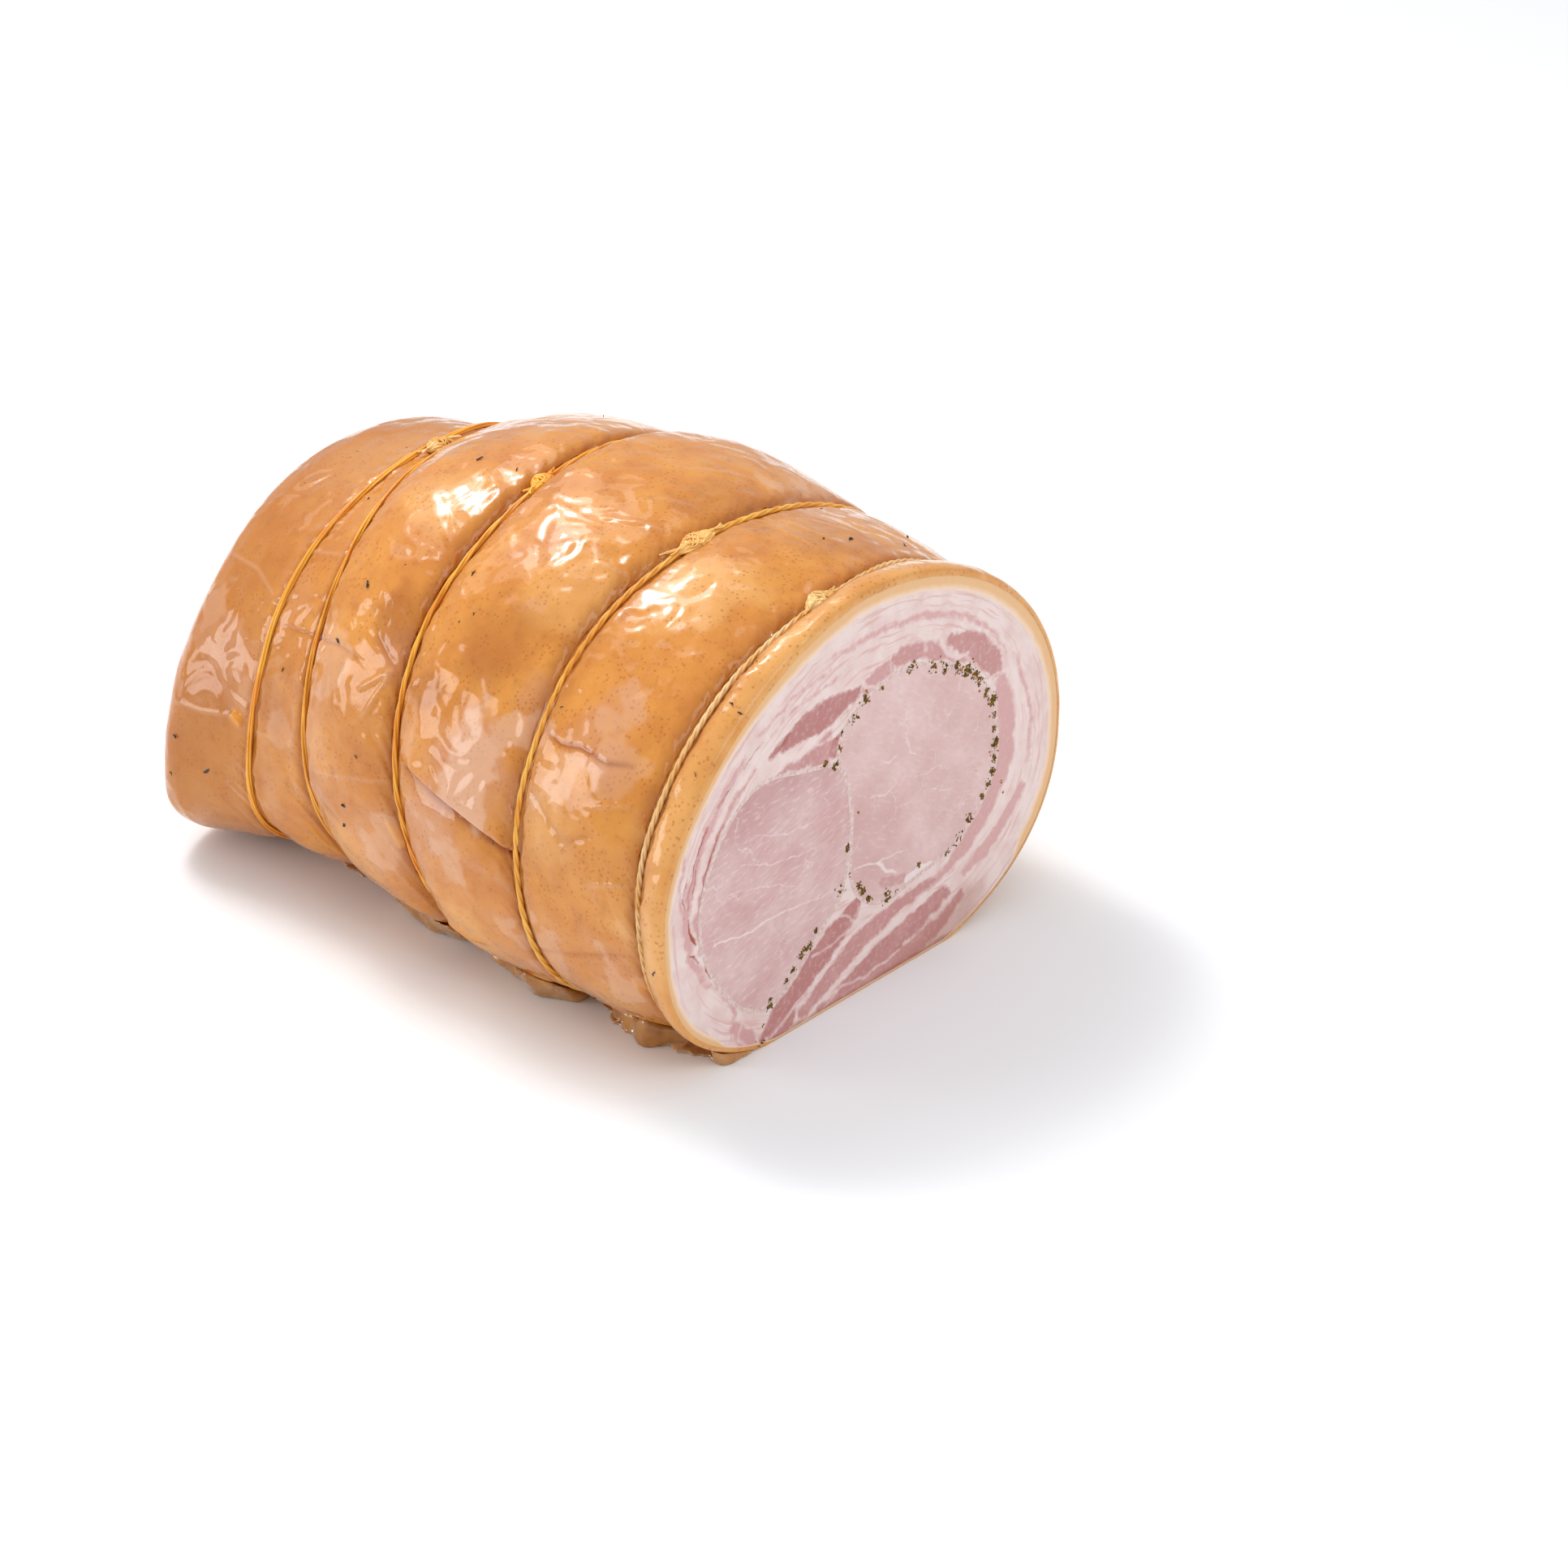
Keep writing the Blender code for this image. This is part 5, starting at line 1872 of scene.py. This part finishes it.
@dataclass(frozen=True)
class Skirt:
    """Juices that ran out and set thin: the outer edge's (X, Y) points, the width and the height in mm."""

    edge: tuple[tuple[float, float], ...]
    width: float
    rise: float


SKIRTS = tuple(Skirt(*row) for row in (
    (((66, -64), (71, -69.5), (76.3, -72.5), (82.5, -75.5), (93.6, -74.8), (104.9, -72.7), (116.1, -70.2),
         (120.6, -67.5), (121.2, -63.7), (120.8, -58.9), (119, -54), (115, -50)), 13, 6),
    (((-72, -54), (-66, -60), (-58, -62.5), (-50, -64), (-42, -60), (-34, -52), (-27, -56), (-20, -60),
         (-14, -62)), 8, 3.6),
    (((12, -58), (19, -56), (26, -63), (33, -67), (40, -67)), 7, 2.6),
))


@dataclass
class Jelly:
    """The juices that set in the undercuts at the roll's foot."""

    form: RollForm
    voxel: float = 0.7 * MM
    ruffle: float = 0.9 * MM
    swell: float = 0.3 * MM
    relaxing: int = 24
    least: float = 0.25 * MM
    brim: float = 0.7
    grain: Grain = field(default_factory=lambda: Grain(31))

    def build(self) -> None:
        """Builds the lumps and the skirts."""
        thick = PlainFood("set_pork_jelly", "#e2a050", "#c88438", 8 * MM, 0.12, 0.15, 1.0, 0.35).material()
        for node in sorted(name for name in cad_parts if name.startswith("jelly")):
            self.lump(node, thick)
        thin = PlainFood("thin_set_juices", "#e2b078", "#c07c40", 5 * MM, 0.1, 0.3, 1.0, 0.4).material()
        for i, skirt in enumerate(SKIRTS):
            self.skirt(f"juice_skirt_{i + 1}", skirt, thin)

    def lump(self, node: str, finish: Material) -> None:
        """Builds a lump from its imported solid, rounded and ruffled.

        Args:
            node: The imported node.
            finish: Its material.
        """
        piece = add_object(f"{node}_lump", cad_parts[node].data.copy())
        remesh = piece.modifiers.new("round", "REMESH")
        remesh.mode, remesh.voxel_size = "VOXEL", self.voxel
        relax = piece.modifiers.new("relax", "SMOOTH")
        relax.factor, relax.iterations = 0.6, self.relaxing
        set_plain(piece)
        made = piece.data
        made.materials.clear()
        made.materials.append(finish)
        made.shade_smooth()
        points, normals = vertex_rows(made), vertex_rows(made, "normal")
        points += normals * (self.ruffle * self.grain.at(points, 6 * MM, 2) + self.swell)[:, None]
        points[:, 2] = np.maximum(points[:, 2], FLOOR_GAP)
        made.vertices.foreach_set("co", points.ravel())
        made.update()
        settle(piece, Slot.JELLY, node)

    def skirt(self, name: str, skirt: Skirt, finish: Material) -> None:
        """Builds a thin ragged sheet that slopes from the roll's foot to the floor.

        Args:
            name: The piece's name.
            skirt: Where it runs and how wide and high it is.
            finish: Its material.
        """
        marks = np.array(skirt.edge) * MM
        reach = np.concatenate([[0], np.cumsum(np.hypot(*np.diff(marks, axis=0).T))])
        along = np.linspace(0, reach[-1], math.ceil(reach[-1] / (0.6 * MM)))
        line = np.stack([np.interp(along, reach, marks[:, i]) for i in range(2)], axis=-1)
        for _ in range(6):
            line[1:-1] = (line[:-2] + 2 * line[1:-1] + line[2:]) / 4
        way = np.gradient(line, axis=0)
        inward = np.stack([-way[:, 1], way[:, 0]], axis=-1) / np.hypot(*way.T)[:, None]
        taper = np.sin(math.pi * np.linspace(0.06, 0.97, len(line)))[:, None] ** 0.5
        u = np.linspace(0, 1, 14)[None, :]
        x, y = line[:, :1], line[:, 1:]
        spots = np.stack([x + 0 * u, y + 0 * u, 12 * MM * u + 0 * x], axis=-1)
        start = spots[:, :1]
        ragged = 1.6 * MM * self.grain.at(start, 4 * MM, 3) + 0.6 * MM * self.grain.at(start + 0.2, 1.6 * MM)
        off = ragged * (1 - u) + skirt.width * MM * u * taper
        top = (self.brim + 0.5 * self.grain.at(spots + 0.5, 5 * MM, 2)) * MM
        top = top + (skirt.rise - self.brim) * MM * taper * u**1.3
        top = np.maximum(top + 0.35 * MM * self.grain.at(spots + 0.9, 2.2 * MM), self.least)
        upper = np.stack([x + inward[:, :1] * off, y + inward[:, 1:] * off, top], axis=-1)
        lower = upper[:, ::-1].copy()
        lower[..., 2] = FLOOR_GAP
        ring = np.concatenate([upper, lower], axis=1)
        ring[..., 0] = np.minimum(ring[..., 0], self.form.face)
        rows, columns = ring.shape[:2]
        faces = grid_faces(rows, columns)[:, ::-1].tolist()
        faces += [list(range(columns))[::-1], list(range((rows - 1) * columns, rows * columns))]
        settle(mesh_piece(name, ring.reshape(-1, 3), faces, finish), Slot.JELLY)


@dataclass(frozen=True)
class Cluster:
    """Herbs gathered at one place on the cut face: its middle and spread in mm, and how many."""

    y: float
    z: float
    spread: float
    count: int


DARK_HERBS = tuple(Cluster(*row) for row in (
    (-8, 102.3, 1.6, 9), (0, 103.3, 0.9, 4), (14, 105.3, 2.4, 9), (24, 101.8, 1.8, 7), (30, 98.6, 1.6, 7),
    (36, 97, 2, 14), (41, 94, 2, 34), (45, 91, 1.8, 16), (47, 88, 1.4, 12), (51, 82.5, 1.4, 12),
    (54, 78.6, 1.5, 26), (55, 73, 1, 6), (55.3, 68, 1.1, 6), (56, 63, 1.2, 28), (55.3, 57.5, 1.2, 12),
    (55, 53, 1.3, 14), (53, 49.5, 1.3, 6), (50, 46, 1, 7), (44, 40.5, 1.4, 8), (38, 35, 2, 4),
    (33, 32.3, 1, 4), (19, 34, 0.7, 3), (4, 29, 2.2, 6), (-5, 31.5, 1.4, 10), (-8, 35.5, 1.4, 10),
    (-10, 38, 1.2, 9), (-14.5, 44, 0.6, 3), (-15.5, 54, 0.9, 6), (-18.5, 95, 1, 6), (-19.5, 90, 0.9, 4),
    (-21.5, 85, 1.2, 6), (-26, 87, 1.2, 4), (-30, 31, 0.8, 4), (-33, 27, 1.5, 12), (-37, 25, 1.2, 7),
    (-40, 22, 1, 6), (-43.5, 19, 1, 5), (-51, 14, 1.8, 5), (-54, 8, 0.6, 2), (-55, 1.5, 1.4, 6),
    (-18, 40.5, 3, 3), (-13, 98, 2, 3),
))
SPICE_HERBS = tuple(Cluster(*row) for row in (
    (8.5, 29, 1, 6), (44, 40.5, 1.2, 6), (60, 47, 1.3, 5), (15, 105, 2.5, 6), (27, 100.5, 3, 6),
    (38, 96, 3, 7), (48, 87, 3, 7), (53, 80, 2, 5), (52.5, 73.5, 0.8, 2), (-6, 102.5, 3, 5),
    (-35, 26, 3, 7), (-10.8, 64.5, 0.8, 3), (-27, 87.5, 3, 4), (-20, 93, 2, 3), (55.5, 60, 3, 6),
    (47, 56.3, 0.7, 1), (61, 43, 0.8, 2), (-57, 2, 1.6, 4),
))
RIND_FLECKS = (
    (10, 132), (20, 140), (17, 142), (-30, 154), (-70, 166), (-87, 193), (-100, 188), (-2, 132), (2, 151),
    (-26, 171), (20, 161), (48, 125), (100, 211), (107, 168), (108, 143), (117, 136), (113, 134),
    (-18, 189), (-16, 185), (-102, 196), (-26, 142), (-24, 107), (-8, 107), (91, 75), (95, 58), (118, 189),
    (65, 149), (75, 147), (118, 151),
)


@dataclass
class Herbs:
    """Chopped herbs in the seam of the cut face, and scorched flecks on the rind."""

    form: RollForm
    lowest: float = 1.6 * MM
    sunk: float = 0.3 * MM
    flecks: int = 90
    fleck_floor: float = 6 * MM

    def on_face(self, clusters: list[Cluster], seed: int) -> tuple[Points, Points, Points]:
        """Scatters herbs on the cut face.

        Args:
            clusters: Where they gather.
            seed: Which draw this is.

        Returns:
            Their places, their surface's normals and their shares of full size.
        """
        rng = np.random.default_rng(seed)
        places = np.concatenate([
            np.array([cluster.y, cluster.z]) + rng.normal(0, 0.42 * cluster.spread, (cluster.count, 2))
            for cluster in clusters]) * MM
        places[:, 1] = np.maximum(places[:, 1], self.lowest)
        depth = np.full((len(places), 1), self.form.face - self.sunk)
        out = np.tile([1.0, 0.0, 0.0], (len(places), 1))
        return np.concatenate([depth, places], axis=1), out, rng.uniform(0.35, 1.0, len(places))

    def on_rind(self, seed: int) -> tuple[Points, Points, Points]:
        """Puts flecks on the rind: those at chosen places first, then others at random.

        Args:
            seed: Which draw this is.

        Returns:
            Their places, their surface's normals and their shares of full size.
        """
        rng = np.random.default_rng(seed)
        back = np.linspace(1 * MM, self.form.rim, 300)
        angles = np.radians(np.arange(0, 360, 0.75))
        skin = self.form.skin(back, angles)
        normals, clock = outward(skin), self.form.clock(skin)
        offs = (np.abs(skin[..., 0] / MM - x) + 1.5 * np.abs(clock - at) for x, at in RIND_FLECKS)
        picks = [np.unravel_index(np.argmin(off), off.shape) for off in offs]
        while len(picks) < self.flecks:
            i, j = rng.integers(len(back)), rng.integers(len(angles))
            if skin[i, j, 2] > self.fleck_floor:
                picks.append((i, j))
        rows, columns = np.array(picks).T
        share = rng.uniform(0.25, 0.6, len(picks))
        share[:len(RIND_FLECKS)] = rng.uniform(0.5, 1.0, len(RIND_FLECKS))
        return skin[rows, columns] - 0.15 * MM * normals[rows, columns], normals[rows, columns], share

    def build(self) -> None:
        """Builds the herbs on the face and the flecks on the rind."""
        green = PlainFood("chopped_rosemary", "#46350f", "#7a6228", 0.8 * MM, 0.7, specular=0.1).material()
        ochre = PlainFood("ground_spice", "#b07c30", "#82501c", 0.7 * MM, 0.7, specular=0.1).material()
        black = PlainFood("scorched_herb", "#1c140e", "#3a2414", 0.5 * MM, 0.35, 0.3, 0.6).material()
        strewn = [Cluster(c.y, c.z, 1.2 * c.spread, c.count // 2 + 1) for c in DARK_HERBS]
        fine = [Cluster(c.y, c.z, 1.3 * c.spread, 4 * c.count) for c in DARK_HERBS]
        Scatter(Form.LEAF, 2.3 * MM, 1).build("seam_herbs", *self.on_face(DARK_HERBS, 7), green)
        Scatter(Form.CRUMB, 0.95 * MM, 4).build("seam_fine_herbs", *self.on_face(fine, 12), green)
        Scatter(Form.CRUMB, 1.1 * MM, 2).build("seam_spice", *self.on_face([*SPICE_HERBS, *strewn], 8), ochre)
        Scatter(Form.NEEDLE, 3.4 * MM, 3).build("rind_flecks", *self.on_rind(9), black)


@dataclass
class Studio:
    """A white sweep under soft light, with the camera of the photograph."""

    azimuth: float = 41.83
    elevation: float = 28.0
    distance: float = 1.355
    lens: float = 90.0
    target: tuple[float, float, float] = (11.7 * MM, 78.4 * MM, 0.0)
    lit_height: float = 60 * MM
    world_strength: float = 0.62
    sweep: float = 8.0

    @staticmethod
    def place(item: Object, target: tuple[float, float, float], azimuth: float, elevation: float,
              distance: float) -> None:
        """Stands a light or the camera round a target, facing it.

        Args:
            item: The light or the camera.
            target: What it faces.
            azimuth: Where it stands, in degrees from +X towards +Y.
            elevation: How high it stands, in degrees.
            distance: How far away.
        """
        a, e = math.radians(azimuth), math.radians(elevation)
        way = Vector((math.cos(a) * math.cos(e), math.sin(a) * math.cos(e), math.sin(e)))
        item.location = Vector(target) + way * distance
        item.rotation_euler = way.to_track_quat("Z", "Y").to_euler()

    def light(self, name: str, azimuth: float, elevation: float, distance: float, width: float, height: float,
              power: float) -> None:
        """Adds a soft box that faces the roll.

        Args:
            name: Its name.
            azimuth: Where it stands, in degrees from +X towards +Y.
            elevation: How high it stands, in degrees.
            distance: How far away.
            width: Its width.
            height: Its height.
            power: Its power in watts.
        """
        lamp = bpy.data.lights.new(name, "AREA")
        lamp.shape, lamp.size, lamp.size_y, lamp.energy = "RECTANGLE", width, height, power
        self.place(add_object(name, lamp), (0, 0, self.lit_height), azimuth, elevation, distance)

    def build(self) -> None:
        """Builds the floor, the lights and the camera."""
        scene = bpy.context.scene
        white = bpy.data.materials.new("white_sweep")
        white.use_nodes = True
        feed(white.node_tree.nodes["Principled BSDF"],
             {"Base Color": linear("#f5f7fa"), "Roughness": 0.9, "Specular IOR Level": 0.1})
        mesh = bpy.data.meshes.new("sweep")
        corners = [(self.sweep * x, self.sweep * y, 0) for x, y in ((-1, -1), (1, -1), (1, 1), (-1, 1))]
        mesh.from_pydata(corners, [], [(0, 1, 2, 3)])
        mesh.materials.append(white)
        add_object("sweep", mesh)
        world = bpy.data.worlds.new("studio")
        world.use_nodes = True
        feed(world.node_tree.nodes["Background"], {"Color": (1, 1, 1, 1), "Strength": self.world_strength})
        scene.world = world
        self.light("key_core", 172, 57, 1.5, 0.30, 0.22, 5.0)
        self.light("key_ring", 171, 56, 1.55, 0.62, 0.48, 5.4)
        self.light("key_box", 168, 55, 1.6, 1.25, 0.95, 5.9)
        self.light("side_box", -132, 12, 1.6, 0.6, 0.6, 6.2)
        self.light("face_box", -8, 40, 1.8, 1.1, 0.9, 8.6)
        scene.view_settings.view_transform = "Standard"
        scene.view_settings.look = "None"
        camera = bpy.data.cameras.new("photo_camera")
        camera.lens, camera.sensor_width, camera.clip_start, camera.clip_end = self.lens, 36, 0.05, 50
        item = add_object("photo_camera", camera)
        self.place(item, self.target, self.azimuth - 90, self.elevation, self.distance)
        scene.camera = item


def main() -> None:
    """Builds the studio and every piece of the roll."""
    logging.basicConfig(level=logging.INFO, format="%(name)s: %(message)s")
    Studio().build()
    form = RollForm()
    cut = {
        "belly_wrap": CutBelly(),
        "loin_eye": CutLoin("cut_loin_eye", "#e0c1bd", "#d5afab", "#c4918f", grain_angle=0.5, fibre=0.2),
        "loin_lower": CutLoin("cut_lower_loin", "#dcbdba", "#d0a6a4", "#bb8686", grain_angle=-0.2,
                              fibre=0.34),
        "herb_seam": PlainFood("herb_paste", "#e4cdc8", "#d0b0a8", 1.4 * MM, 0.45),
    }
    browned = {
        "belly_wrap": CutBelly(
            "browned_belly_end", "#bc7630", "#be7a38", "#bc8044", "#b8804c", "#a87040", "#c08c58", "#a0683c",
            "#a46c42", "#935a36", "#84482a", "#965424"),
        "loin_eye": CutLoin("browned_loin_end", "#ac7848", "#9e6a3e", "#885634", "#b88a58", fibre=0.4),
        "loin_lower": CutLoin("browned_lower_loin_end", "#a67244", "#98643c", "#845230", "#b28454",
                              fibre=0.4),
        "herb_seam": PlainFood("browned_herb_paste", "#a4703c", "#94602f", 1.4 * MM, 0.5),
    }
    Rind(form).build()
    for end, foods in ((End.CUT, cut), (End.NATURAL, browned)):
        CutSurface(form, end).build({node: food.material() for node, food in foods.items()})
    Twine(form).build()
    Jelly(form).build()
    Herbs(form).build()


if __name__ == "__main__":
    main()
